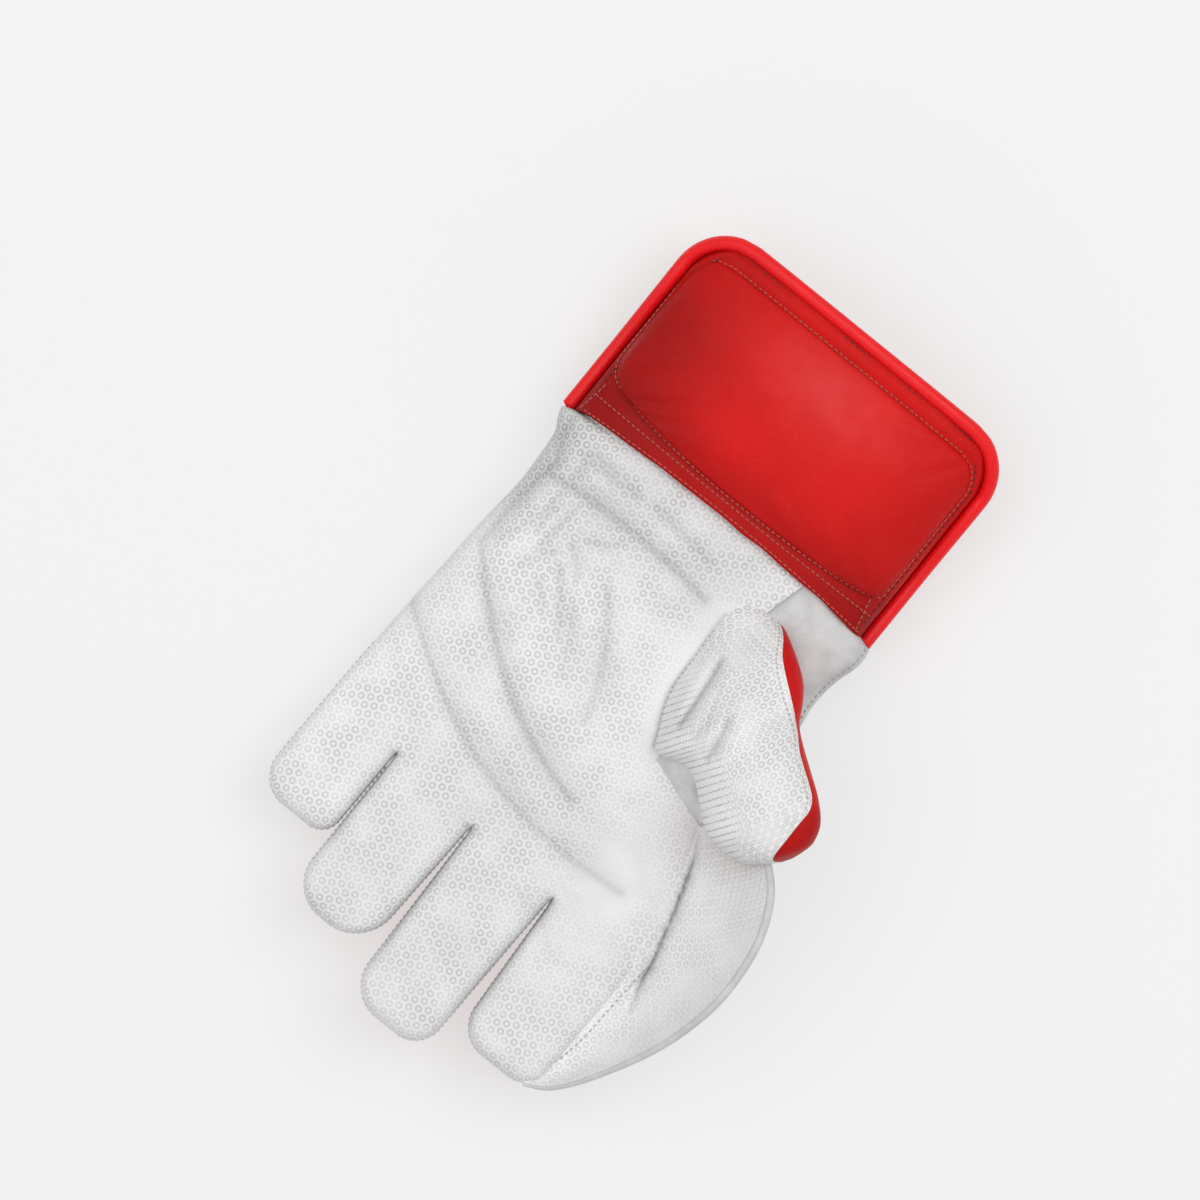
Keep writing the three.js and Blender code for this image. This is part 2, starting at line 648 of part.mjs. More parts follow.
const pieces = [
  ['palm_facing', facing.subtract(wristGussetSpace(clearance)), white],
  ['wrist_gusset', facing.intersect(wristGussetSpace(0)), smoothWhite],
  ['back_panel', shell.intersect(seamSide(false)), red],
  ['thumb_face', thumbShell.intersect(thumbSide(true)), white],
  ['thumb_back', thumbShell.intersect(thumbSide(false)), red],
  ['thumb_gusset', sheet(gussetPoint, spread(0, 1, 4), spread(0, 1, 2),
    () => -gussetWall / 2, () => gussetWall / 2)
    .subtract(handKeep).subtract(thumbKeep).subtract(webSheet(clearance)), smoothWhite],
  ['web_panel', webSheet(0).subtract(handKeep).subtract(thumbKeep), white],
  ['web_binding', binding.subtract(handKeep).subtract(thumbKeep), white],
  ['cuff_front', cuffSheet(1, 0).subtract(frontPipeKeep), red],
  ['cuff_back', cuffSheet(-1, 0).subtract(frontPipeKeep).subtract(backPipeKeep), red],
  ['cuff_pad', padSheet(), red],
  ['cuff_piping_front', frontPipe, brightRed],
  ['cuff_piping_back', backPipe.subtract(frontPipeKeep), brightRed],
];

// The largest body that a cut leaves becomes the mesh, without its slivers
function toMesh(name, body, finish) {
  const bodies = body.decompose().sort((a, b) => b.volume() - a.volume());
  const mesh = bodies[0].simplify(0.01).getMesh();
  const geometry = new THREE.BufferGeometry();
  geometry.setAttribute('position', new THREE.BufferAttribute(new Float32Array(mesh.vertProperties), 3));
  geometry.setIndex(new THREE.BufferAttribute(new Uint32Array(mesh.triVerts), 1));
  geometry.computeVertexNormals();
  const material = new THREE.MeshStandardMaterial({ ...finish, metalness: 0 });
  const part = new THREE.Mesh(geometry, material);
  part.name = name;
  return part;
}

const glove = new THREE.Group();
pieces.forEach(([name, body, finish]) => glove.add(toMesh(name, body, finish)));
const box = new THREE.Box3().setFromObject(glove);
const middle = box.getCenter(new THREE.Vector3());
glove.position.set(-middle.x, -middle.y, -box.min.z);
glove.updateMatrixWorld(true);

export default glove;
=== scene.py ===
"""Looks of the wicketkeeping glove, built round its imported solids.

Points are worked out in millimetres in the same coordinates as the solids: y = 0 is the hem of the
hand at the wrist, x = 0 the middle of the knuckles, z = 0 the surface that the glove lies on.
"""

import math

import bmesh
import bpy
import numpy as np
from mathutils import Matrix, Vector


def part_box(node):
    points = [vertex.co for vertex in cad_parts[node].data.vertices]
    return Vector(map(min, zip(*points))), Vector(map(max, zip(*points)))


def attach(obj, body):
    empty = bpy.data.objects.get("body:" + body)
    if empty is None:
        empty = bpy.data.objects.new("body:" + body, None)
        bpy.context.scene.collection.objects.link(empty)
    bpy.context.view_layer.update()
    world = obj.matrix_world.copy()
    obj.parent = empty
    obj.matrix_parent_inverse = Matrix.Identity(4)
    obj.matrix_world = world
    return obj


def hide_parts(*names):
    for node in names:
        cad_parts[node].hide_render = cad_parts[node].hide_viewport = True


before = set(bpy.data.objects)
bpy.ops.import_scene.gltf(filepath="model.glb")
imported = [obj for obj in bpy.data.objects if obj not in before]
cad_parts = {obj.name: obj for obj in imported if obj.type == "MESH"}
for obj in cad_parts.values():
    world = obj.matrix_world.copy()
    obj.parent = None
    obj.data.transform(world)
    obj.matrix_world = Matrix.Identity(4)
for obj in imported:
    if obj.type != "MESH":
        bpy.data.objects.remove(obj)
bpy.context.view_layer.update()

MM = 0.001

# Hand, in millimetres
PALM_LENGTH = 142
HALF_HAND = 74
PALM_DEPTH = 42
FINGER_LENGTH = 73
FINGER_DEPTH = 28
FINGER_GAP = 0.6
GAP_OPENS = 4
FINGER_SQUARE = 5.0
FINGER_CURL = 20
CURL_START = 0.8
CURL_POWER = 1.8
TIP_RADIUS = 10
TIP_FALL = 0.6
SIDE_STRIP = 0.92
VALLEY = 3.5
STRIPS_END = 144
PATTERN_ROW = 134
SEAM_SHARE = 0.45
WRIST_BLEND = 0.16
WALL = 2.0
HEM_TUCK = 6
CLEARANCE = 0.3
FRONT_STEP = 1.0
BACK_STEP = 1.8
FINGER_COLUMNS = 46
TIP_ROWS = 18
OUTER_STITCHES_FROM = 110
WELD = 0.02

# How far the left and the right side puff out by the hem, and where that starts and ends to fade
HEM_PUFF = {-1: (1.4, 10, 24), 1: (3.4, 4, 14)}

# Thumb
THUMB_REACH = 89
THUMB_WIDTH = 54
THUMB_DEPTH = 34
THUMB_RISE = 36
THUMB_FOOT = 26
THUMB_TURN = math.radians(147.4)
THUMB_START = (-17, 26)
THUMB_LEAN = 0.27
THUMB_SQUARE = 0.85
THUMB_ENDS = (-0.07, 1.005)
THUMB_CLOSES = 0.975
THUMB_CLOSING = 0.03
THUMB_TIP_WIDTH = 0.35
THUMB_FAR_SEAM = math.radians(-6)
THUMB_MEETS_PALM = 0.43
THUMB_GATHER = 0.3
THUMB_TIGHT = 1.15

# Catching web
WEB_LENGTH = 118
WEB_REACH = 30
WEB_RISE = 38
WEB_FOOT = 28
WEB_FROM_WRIST = 84
WEB_SAG = 5
WEB_WALL = 2.2
BINDING_RADIUS = 1.45

# Gussets; the inner edge by the wrist is given as places along the hand and across it
GUSSET_ABOVE = 1.2
GUSSET_MARGIN = 1.7
GUSSET_END = 47
GUSSET_WALL = 0.9
GUSSET_INNER = ((0, 14, 38, 47), (-33, -29.5, -25, -30))
THUMB_GUSSET_SINK = 4.0
THUMB_GUSSET_WALL = 1.6

# Cuff
CUFF_HALF = 67.75
CUFF_END = -80.75
CUFF_LENGTH = 83.5
CUFF_MIDDLE = 22
CUFF_FLARE = 5
CUFF_OFFSET = 4.5
CUFF_OVERLAP = 2.5
CUFF_SQUARE = 3.4
CUFF_WALL = 2.5
CUFF_LEATHER = 2.3
CORNER_RADIUS = 18.25
HEM_BOW = 3
PANEL_INSET = 2.6
PIPING_RADIUS = 2.6
GROOVE_INSET = 3.4
GROOVE_SIDE = 0.84
PAD_MIDDLE = 5.6
PAD_HALF = 62.6
PAD_END = -72
PAD_START = -7.5
PAD_BOW = 5
PAD_CORNER = 11
PAD_SHARP_CORNER = 3
PAD_CROWN = 4.4
PAD_EDGE = 0.4
PAD_WELT = 1.3
PAD_SHOULDER = 17
PAD_LEATHER = 1.5
PAD_STITCH_LIFT = 0.75

# Cloth simulation of the pad: frames, the height up to which its lip is sewn down, the pressure of
# the padding, how far it may push the leather, and how stiff the leather is
CLOTH_FRAMES = 20
PAD_LIP = 1.75
PAD_PRESSURE = 30.0
PAD_SWELL = 2.0
PAD_STIFFNESS = 40
PAD_BENDING = 2

# Photograph: the width that its frame spans at the height of the palm, the middle of its frame over
# the glove, and the directions of its right and upper side
PHOTO_SPAN = 426
PHOTO_MIDDLE = (34.1, -16.1)
PHOTO_RIGHT = (-0.777, -0.630, 0)
PHOTO_UP = (0.630, -0.777, 0)
CAMERA_DISTANCE = 3000
PALM_HEIGHT = 40
SENSOR = 36

# Brightness of the studio and the lamps: across and up the photograph, height, size in metres, power
WORLD_STRENGTH = 0.58
FLOOR_GREY = 0.31
FLOOR_GLOW = 0.56
FLOOR_HALF = 6
LAMPS = {"key": (0.9, 0.3, 1.9, 1.6, 16), "fill": (-0.9, 0.3, 2.2, 2.4, 19)}

# The frame has its origin in the middle of the whole part
cuff_low, cuff_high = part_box("cuff_front")
palm_low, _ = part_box("palm_facing")
SHIFT = np.array([
    (cuff_low.x + cuff_high.x) / 2 / MM - CUFF_OFFSET,
    palm_low.y / MM + HEM_TUCK,
    0.0,
])

# Shape of the hand along it, as in the solids
HAND_ROWS = {
    "along": (0.06, 0.14, 0.24, 0.38, 0.52, 0.66, 0.83, 1.0),
    "left": (-0.865, -0.845, -0.840, -0.905, -0.920, -0.935, -0.975, -1.0),
    "right": (0.955, 0.940, 0.932, 0.953, 0.966, 0.980, 0.993, 1.0),
    "bottom": (0.03, 0.0, 0.0, 0.0, 0.0, 0.0, 0.0, 0.02),
    "fall": (0.0, 0.0, 0.0, 0.1, 0.3, 0.5, 0.78, 1.0),
    "square": (3.4, 3.4, 3.4, 3.5, 3.7, 4.2, 5.0, 6.0),
}

# Index, middle, ring and little finger: where each ends across half the hand, its length as a share
# of the middle finger's, how much its sides draw in, the radii of its tip's corners, and where it
# parts from the next one
FINGERS = (
    {"until": -0.460, "length": 0.822, "draw": (0.077, 0.080), "corners": (10, 12), "parts": 144},
    {"until": 0.059, "length": 1.0, "draw": (0.056, 0.050), "corners": (11, 14), "parts": 142},
    {"until": 0.565, "length": 0.795, "draw": (0.067, 0.005), "corners": (16, 15), "parts": 138},
    {"until": 1.0, "length": 0.486, "draw": (0.018, -0.020), "corners": (8, 13), "parts": 138},
)

# Folds of the palm: start, pull and end of each curve, its depth and its width
FOLDS = (
    ((-52, 126), (18, 136), (71, 92), 1.8, 4.4),
    ((-17, 111), (23, 106), (66, 60), 2.3, 4.6),
    ((66, 60), (67, 44), (63, 22), 2.3, 4.0),
    ((-3, 86), (3, 64), (21, 44), 1.5, 4.4),
    ((23, 69), (30, 60), (38, 49), 1.4, 4.0),
    ((-9, 26), (28, 21), (63, 26), 2.2, 4.4),
    ((48, 49), (49, 38), (47, 29), 1.2, 3.6),
    ((53, 44), (55, 30), (54, 14), 1.4, 3.8),
    ((32, 12), (44, 10), (55, 14), 1.1, 3.2),
    ((-44, 158), (-38, 150), (-20, 148), 0.5, 4.0),
    ((62, 30), (68, 45), (64, 62), 1.0, 2.4),
    ((68, 4), (68, 13), (62, 23), 1.6, 3.0),
    ((56, 13), (51, 10), (43, 13), 1.3, 3.0),
    ((61, 54), (57, 42), (50, 30), 0.9, 3.2),
    ((40, 40), (35, 45), (31, 49), 1.0, 2.8),
    ((41, 58), (37, 62), (32, 67), 0.9, 3.0),
    ((26, 57), (20, 67), (14, 79), 0.8, 3.4),
    ((25, 11), (15, 11), (-2, 14), 1.1, 3.0),
    ((36, 36), (31, 36), (26, 28), 0.8, 3.0),
    ((50, 58), (49, 52), (42, 45), 0.9, 3.0),
)
CREASE_WIDTH = 1.3
THUMB_CREASE_WIDTH = 0.75

# Creases of the thumb's face, in the same columns
THUMB_FOLDS = (
    ((-27, 39), (-29, 50), (-30, 66), 2.1, 2.3),
    ((-42, 53), (-44, 60), (-45, 69), 1.8, 2.1),
    ((-33, 46), (-36, 56), (-37, 66), 0.7, 3.0),
)

THUMB_ROWS = {
    "along": (-0.07, 0.09, 0.22, 0.36, 0.44, 0.51, 0.58, 0.70, 0.81, 0.91, 0.97, 1.0),
    "near": (-0.20, -0.34, -0.37, -0.36, -0.31, -0.25, -0.23, -0.22, -0.21, -0.17, -0.09, 0.0),
    "far": (0.12, 0.30, 0.51, 0.64, 0.70, 0.57, 0.52, 0.54, 0.55, 0.47, 0.37, 0.24),
    "rise": (0.0, 0.17, 0.33, 0.47, 0.55, 0.62, 0.69, 0.81, 0.89, 0.94, 0.97, 0.98),
    "depth": (0.70, 0.86, 0.94, 1.0, 1.0, 1.0, 1.0, 0.95, 0.91, 0.80, 0.60, 0.32),
    "roll": (0.0, 0.05, 0.16, 0.14, 0.0, 0.02, 0.14, 0.0, 0.12, 0.14, 0.08, 0.0),
}

# Edge of the thumb's face towards the wrist, as a share of the section's half width
THUMB_SEAM = {
    "along": (-0.07, 0.08, 0.15, 0.24, 0.36, 0.45, 0.53, 0.62, 0.77, 0.82, 0.85, 0.88, 0.93, 0.97, 1.0),
    "side": (-1.0, -1.0, -0.93, -0.80, -0.79, -0.88, -0.95, -0.90, -0.90, -0.86, -0.76, -0.54, -0.18,
             0.2, 0.6),
}

WEB_ROWS = {
    "along": (0, 1, 2, 3, 4, 5, 6, 7, 8),
    "seam_along": (0.02, 0.085, 0.21, 0.36, 0.49, 0.64, 0.78, 0.90, 0.97),
    "seam_out": (-0.53, -0.43, -0.23, -0.07, 0.0, -0.02, -0.04, -0.14, -0.30),
    "seam_up": (0.12, 0.08, 0.05, 0.02, 0.0, 0.02, 0.08, 0.14, 0.18),
    "edge_along": (-0.02, 0.07, 0.20, 0.36, 0.50, 0.66, 0.84, 0.94, 0.985),
    "edge_out": (0.25, 0.61, 0.84, 0.92, 0.87, 0.69, 0.34, 0.06, -0.22),
    "edge_up": (0.79, 0.92, 1.0, 1.0, 0.90, 0.72, 0.50, 0.32, 0.24),
}

# Crease beside the seam between the index finger and the web
WEB_CREASE = ((-80.5, 156), (-77.5, 146), (-75.8, 136), (-73, 126), (-70, 116), (-65.5, 102), (-61, 92))
WEB_CREASE_DEPTH = 1.8

# Wrinkles of the pad, as the folds of the palm
PAD_FOLDS = (
    ((-30, -14), (-18, -19), (-2, -20), 0.7, 3.0),
    ((10, -12), (26, -16), (44, -16), 0.5, 3.0),
    ((40, -40), (52, -36), (60, -24), 0.5, 5.0),
)

# Honeycomb of rings pressed into the facing
PITCH = 3.55
RING_RADIUS = 0.98
RING_WIDTH = 0.46
DOT_RADIUS = 0.62
COMB_WIDTH = 0.30
RIB_WIDTH = 0.52
PATTERN_SCALE = 0.01


# Reading tables and shaping

def read_column(rows, column, places):
    """Smooth reading of a column of a table at places along it."""
    keys = np.array(rows["along"], float)
    values = np.array(rows[column], float)
    steps = np.diff(values) / np.diff(keys)
    inner = (values[2:] - values[:-2]) / (keys[2:] - keys[:-2])
    slopes = np.concatenate([steps[:1], inner, steps[-1:]])
    places = np.clip(places, keys[0], keys[-1])
    cell = np.clip(np.searchsorted(keys, places, side="right") - 1, 0, len(keys) - 2)
    span = keys[cell + 1] - keys[cell]
    t = (places - keys[cell]) / span
    return (
        (2 * t**3 - 3 * t**2 + 1) * values[cell]
        + (t**3 - 2 * t**2 + t) * slopes[cell] * span
        + (3 * t**2 - 2 * t**3) * values[cell + 1]
        + (t**3 - t**2) * slopes[cell + 1] * span
    )


def mix(a, b, share):
    return a + (b - a) * share


def smooth(value, low, high):
    t = np.clip((value - low) / (high - low), 0, 1)
    return t * t * (3 - 2 * t)


def roundness(share, square):
    s = np.minimum(np.abs(share), 1)
    return (1 - s**square) ** (1 / square)


def soft_noise(x, y, size, seed):
    """Smooth random relief from -1 to 1, with bumps of about the given size."""
    table = np.random.default_rng(seed).uniform(-1, 1, (64, 64))
    gx = x / size + 16.5
    gy = y / size + 16.5
    ix = np.floor(gx).astype(int)
    iy = np.floor(gy).astype(int)
    fx = smooth(gx - ix, 0, 1)
    fy = smooth(gy - iy, 0, 1)
    low, high = (mix(table[ix % 64, k % 64], table[(ix + 1) % 64, k % 64], fx) for k in (iy, iy + 1))
    return mix(low, high, fy)


def curve_points(fold, count):
    """Points along the curve of a fold, which bends towards its middle point."""
    t = np.linspace(0, 1, count)[:, None]
    a, b, c = (np.array(p, float) for p in fold[:3])
    return (1 - t) ** 2 * a + 2 * t * (1 - t) * b + t**2 * c


def distance_to(x, y, route):
    """Distance of places to a route in plan, and the share of the route at which it is least."""
    distance = np.full(np.broadcast(x, y).shape, np.inf)
    along = np.zeros(distance.shape)
    for step, (px, py) in enumerate(route):
        d = np.hypot(x - px, y - py)
        along = np.where(d < distance, step / (len(route) - 1), along)
        distance = np.minimum(distance, d)
    return distance, along


def fold_relief(x, y, folds):
    """Height of the folds at places: a groove with a low swelling on each side."""
    height = 0
    for fold in folds:
        depth, width = fold[3:5]
        distance, along = distance_to(x, y, curve_points(fold, 40))
        fade = np.minimum(1, 4 * np.minimum(along, 1 - along) + 0.25)
        share = distance / width
        groove = 0.5 * np.exp(-(share**2)) + 0.5 * np.exp(-((distance / CREASE_WIDTH) ** 2))
        height = height + fade * depth * (0.5 * np.exp(-((share - 1.8) ** 2)) - groove)
    return height


def near_route(x, y, route, width):
    """How close places are to a route in plan: 1 on it, falling over the given width."""
    steps = np.asarray(route, float)[:, :2]
    steps = np.concatenate([mix(steps[:-1], steps[1:], t) for t in np.linspace(0, 1, 12)])
    return np.exp(-(distance_to(x, y, steps)[0] / width) ** 2)


def eased(count):
    """Numbers from -1 to 1, closer together at both ends."""
    return np.sin(np.linspace(-math.pi / 2, math.pi / 2, count))


def joined(*parts):
    """Points from arrays of their coordinates, which are spread to one shape."""
    return np.stack(np.broadcast_arrays(*parts), -1)


def lengths_along(points):
    """Distance covered along a route, or along each row of a grid."""
    steps = np.linalg.norm(np.diff(points, axis=-2), axis=-1)
    return np.concatenate([np.zeros_like(steps[..., :1]), np.cumsum(steps, axis=-1)], axis=-1)


# Hand

def hand_blend(y):
    return smooth(y, CUFF_OVERLAP, WRIST_BLEND * PALM_LENGTH)


def lift(y):
    start = CURL_START * PALM_LENGTH
    end = PALM_LENGTH + FINGER_LENGTH
    return FINGER_CURL * np.maximum(0, (y - start) / (end - start)) ** CURL_POWER


def hand_bottom(y):
    row = np.maximum(0, read_column(HAND_ROWS, "bottom", y / PALM_LENGTH) * PALM_DEPTH)
    return mix(CUFF_WALL + CLEARANCE, row, hand_blend(y)) + lift(y)


def hand_top(y):
    row = mix(PALM_DEPTH, FINGER_DEPTH, read_column(HAND_ROWS, "fall", y / PALM_LENGTH))
    return mix(2 * CUFF_MIDDLE - CUFF_WALL - CLEARANCE, row, hand_blend(y)) + lift(y)


def hand_seam(y):
    return mix(hand_bottom(y), hand_top(y), SEAM_SHARE)


def hand_edge(y, side):
    """Left (-1) or right (1) edge of the hand."""
    row = read_column(HAND_ROWS, "left" if side < 0 else "right", y / PALM_LENGTH) * HALF_HAND
    wrist = CUFF_OFFSET + side * (CUFF_HALF - PANEL_INSET - CUFF_WALL - CLEARANCE)
    puff, start, end = HEM_PUFF[side]
    return mix(wrist, row + side * puff * (1 - smooth(y, start, end)), smooth(y, 1.5, 4))


def hand_roundness(x, y):
    """Share of the hand's height that is left at a place across it."""
    left, right = hand_edge(y, -1), hand_edge(y, 1)
    square = read_column(HAND_ROWS, "square", y / PALM_LENGTH)
    return roundness((x - (left + right) / 2) / ((right - left) / 2), square)


def body_height(x, y):
    """Height of the palm without its folds."""
    return mix(hand_seam(y), hand_top(y), hand_roundness(x, y))


def finger_limit(index, y):
    """Where finger number index ends towards the little finger's side; -1 is the hand's edge."""
    share = -1 if index < 0 else FINGERS[index]["until"]
    return mix(hand_edge(y, -1), hand_edge(y, 1), (share + 1) / 2)


def finger_grid(index, front, step):
    """Points, pattern coordinates and roundness of one finger with the strip of the hand below it."""
    finger = FINGERS[index]
    length = finger["length"] * FINGER_LENGTH
    tip = PALM_LENGTH + length
    body_rows = np.arange(-HEM_TUCK, STRIPS_END, step)
    body_rows[-1] = STRIPS_END
    pattern_row = int(np.argmin(np.abs(body_rows - PATTERN_ROW)))
    body_rows[pattern_row] = PATTERN_ROW
    largest = max(finger["corners"])
    straight = np.linspace(STRIPS_END, tip - largest, int((length - largest) / step) + 2)[1:]
    angles = np.linspace(0, math.pi / 2, TIP_ROWS + 1)[1:]
    y = np.concatenate([body_rows, straight, tip - largest * (1 - np.sin(angles))])[:, None]

    def rounding(radius):
        return np.sqrt(np.maximum(0, 1 - np.clip((y - tip) / radius + 1, 0, 1) ** 2))

    f = eased(FINGER_COLUMNS + 1)[None, :]
    share = np.clip((y - PALM_LENGTH) / length, 0, 1)
    limits = [finger_limit(index - 1, y), finger_limit(index, y)]
    edges, weights = [], []
    for number, way in enumerate((1, -1)):
        border = index - 1 + number
        parts = FINGERS[max(border, 0)]["parts"]
        corner = finger["corners"][number]
        inward = finger["draw"][number] * (limits[1] - limits[0]) * share + corner * (1 - rounding(corner))
        if 0 <= border < len(FINGERS) - 1:
            inward = inward + FINGER_GAP / 2 * smooth(y, parts, parts + GAP_OPENS)
        edges.append(limits[number] + way * inward)
        weights.append(np.clip((y - (parts - VALLEY)) / VALLEY, 0, 1) ** 3)
    middle = (edges[0] + edges[1]) / 2
    x = middle + (edges[1] - edges[0]) / 2 * f

    seam = hand_seam(y) + (1 if front else -1) * CLEARANCE / 2
    level = hand_top(y) if front else hand_bottom(y)
    falling = rounding(TIP_RADIUS) ** TIP_FALL
    arch = mix(weights[0], weights[1], (f + 1) / 2)
    height = mix(hand_roundness(x, y), roundness(f, FINGER_SQUARE), arch) * falling
    z = seam + (level - seam) * height
    body = smooth(height, 0.3, 0.9)
    if front:
        z = z + fold_relief(x, y, FOLDS) * body
        z = z - WEB_CREASE_DEPTH * near_route(x, y, WEB_CREASE, 1.8) * body
        z = z + 0.55 * soft_noise(x, y, 17, seed=3) * body
        z = z + 0.22 * soft_noise(x, y, 7, seed=4) * body
    else:
        z = np.maximum(z + 0.5 * soft_noise(x, y, 21, seed=5) * body, 0)

    points = joined(x, y, z)
    across = lengths_along(points)
    across = across - across[:, [FINGER_COLUMNS // 2]] + middle
    centre = lengths_along(np.concatenate([y, seam + (level - seam) * falling], axis=1))
    along = centre[:, None] - centre[pattern_row] + PATTERN_ROW
    return points, joined(across, along), height


# Thumb

def thumb_point(along, across, up):
    """A place by the thumb's own directions: along it, across it towards the fingers, and up."""
    c, s = math.cos(THUMB_TURN), math.sin(THUMB_TURN)
    return joined(THUMB_START[0] + along * c + across * s, THUMB_START[1] + along * s - across * c, up)


def bend(value, power=THUMB_SQUARE):
    return np.sign(value) * np.abs(value) ** power


def thumb_surface(share, angle):
    """A point of the thumb at a share of its reach and an angle round it; 0 faces the fingers."""
    inside = np.minimum(share, 1)
    near, far, rise, depth, roll = (
        read_column(THUMB_ROWS, column, inside) for column in ("near", "far", "rise", "depth", "roll"))
    past = np.clip((share - THUMB_CLOSES) / THUMB_CLOSING, 0, 1)
    close = np.sqrt(1 - past**2)
    half = (far - near) * THUMB_WIDTH / 2 * mix(THUMB_TIP_WIDTH, 1, close) * (past < 1)
    across = half * bend(np.cos(angle))
    up = THUMB_DEPTH / 2 * depth * close * bend(np.sin(angle)) * np.where(np.sin(angle) < 0, 1 + roll, 1)
    middle = (near + far) * THUMB_WIDTH / 2
    level = THUMB_FOOT + THUMB_RISE * rise
    return thumb_point(share * THUMB_REACH, middle + across, level + up - THUMB_LEAN * across)


def thumb_near_seam(share):
    """Angle of the seam between the thumb's face and its back, on the side of the wrist."""
    side = np.clip(read_column(THUMB_SEAM, "side", np.minimum(share, 1)), -1, 1)
    return np.arccos(bend(side, 1 / THUMB_SQUARE))


def thumb_foot_route():
    """Where the thumb's face meets the palm, on the side of the fingers."""
    route = []
    angles = np.linspace(THUMB_FAR_SEAM, math.pi / 2, 120)
    for share in np.linspace(0, THUMB_MEETS_PALM, 60):
        points = thumb_surface(np.full(len(angles), share), angles)
        above = points[:, 2] > body_height(points[:, 0], points[:, 1])
        if above.any() and not above[0]:
            route.append(points[int(np.argmax(above))])
    return np.array(route)


# Web

def web_point(u, v):
    """A point of the web: u runs from its seam to its free edge, v from thumb to index finger."""
    place = v * (len(WEB_ROWS["along"]) - 1)
    ends = []
    for end in ("seam", "edge"):
        out, along, up = (read_column(WEB_ROWS, end + part, place) for part in ("_out", "_along", "_up"))
        ends.append(joined(
            -HALF_HAND - WEB_REACH * out, WEB_FROM_WRIST + WEB_LENGTH * along, WEB_FOOT + WEB_RISE * up))
    sag = WEB_SAG * 4 * u * (1 - u) * np.sin(math.pi * np.clip(v, 0, 1))
    return mix(ends[0], ends[1], u[..., None]) + joined(-0.6 * sag, 0 * sag, -0.8 * sag)


# Cuff

def cuff_rise(y):
    return CUFF_MIDDLE + CUFF_FLARE * np.clip(y / CUFF_END, 0, 1) ** 2


def cuff_reach(y):
    past = np.clip(CUFF_END + CORNER_RADIUS - y, 0, CORNER_RADIUS)
    return CUFF_HALF - CORNER_RADIUS + np.sqrt(CORNER_RADIUS**2 - past**2)


def cuff_point(u, v, front=True, inset=0.0):
    """A point on the cuff's outer surface; u runs across it and v from the hem to its end."""
    y = mix(CUFF_OVERLAP - HEM_BOW * (1 - u * u) * (1 - v), CUFF_END, v)
    turn = np.arcsin(np.clip(cuff_reach(y) / CUFF_HALF, 0, 1))
    share = np.sin(turn * u)
    x = (CUFF_HALF - inset) * share
    open_edge = 1 - 0.02 * smooth(v, 0.3, 0.85) ** CUFF_SQUARE
    height = roundness(share * open_edge, CUFF_SQUARE)
    if front:
        z = CUFF_MIDDLE + cuff_rise(y) * height
    else:
        fall = CUFF_MIDDLE - (PIPING_RADIUS + CLEARANCE) * smooth(v, 0.6, 0.95)
        z = CUFF_MIDDLE - fall * np.minimum(height / 0.94, 1)
    return joined(CUFF_OFFSET + x, y, z)


def cuff_surface(x, y, above=0.0):
    """A point above the front of the cuff at a place in plan."""

    def height(x, y):
        share = (x - CUFF_OFFSET) / (CUFF_HALF - PANEL_INSET)
        return CUFF_MIDDLE + cuff_rise(y) * roundness(share, CUFF_SQUARE)

    slope_x = (height(x + 0.05, y) - height(x - 0.05, y)) * 10
    slope_y = (height(x, y + 0.05) - height(x, y - 0.05)) * 10
    tall = np.sqrt(1 + slope_x**2 + slope_y**2)
    return joined(x - above * slope_x / tall, y - above * slope_y / tall, height(x, y) + above / tall)


def pad_start(u):
    """Where the pad's seam by the wrist lies at a share of the pad's half width."""
    return PAD_START - PAD_BOW * u * u


def pad_point(u, v, above=0.0):
    """A point under the raised pad; u runs across it and v from the wrist to the mouth."""
    start = pad_start(u)
    y = mix(start, PAD_END, v)
    corner = mix(PAD_SHARP_CORNER, PAD_CORNER, smooth(u, -0.5, 0))
    at_mouth = np.clip(PAD_END + PAD_CORNER - y, 0, PAD_CORNER)
    at_wrist = np.clip(y - start + corner, 0, corner)
    reach = PAD_HALF + np.sqrt(PAD_CORNER**2 - at_mouth**2) - PAD_CORNER
    reach = reach + np.sqrt(corner**2 - at_wrist**2) - corner
    x = PAD_MIDDLE + PAD_HALF * np.sin(np.arcsin(reach / PAD_HALF) * u)
    return cuff_surface(x, y, above)


# Meshes

def grid_faces(rows, columns, closed, flip):
    at = np.arange(rows * columns).reshape(rows, columns)
    if closed:
        at = np.concatenate([at, at[:, :1]], axis=1)
    quads = np.stack([at[:-1, :-1], at[:-1, 1:], at[1:, 1:], at[1:, :-1]], -1).reshape(-1, 4)
    return quads[:, ::-1] if flip else quads


def place_object(name, data):
    placed = bpy.data.objects.new(name, data)
    bpy.context.scene.collection.objects.link(placed)
    return placed


def make_object(name, points, faces, uv=None):
    """An object from points in millimetres, faces and pattern coordinates of its points."""
    mesh = bpy.data.meshes.new(name)
    mesh.from_pydata(((points + SHIFT) * MM).tolist(), [], faces.tolist())
    if uv is not None:
        layer = mesh.uv_layers.new(name="pattern")
        corners = np.empty(len(mesh.loops), int)
        mesh.loops.foreach_get("vertex_index", corners)
        layer.data.foreach_set("uv", (uv[corners] * PATTERN_SCALE).ravel())
    mesh.shade_smooth()
    return place_object(name, mesh)


def grid_object(name, points, uv=None, closed=False, flip=False):
    faces = grid_faces(*points.shape[:2], closed, flip)
    return make_object(name, points.reshape(-1, 3), faces, None if uv is None else uv.reshape(-1, 2))


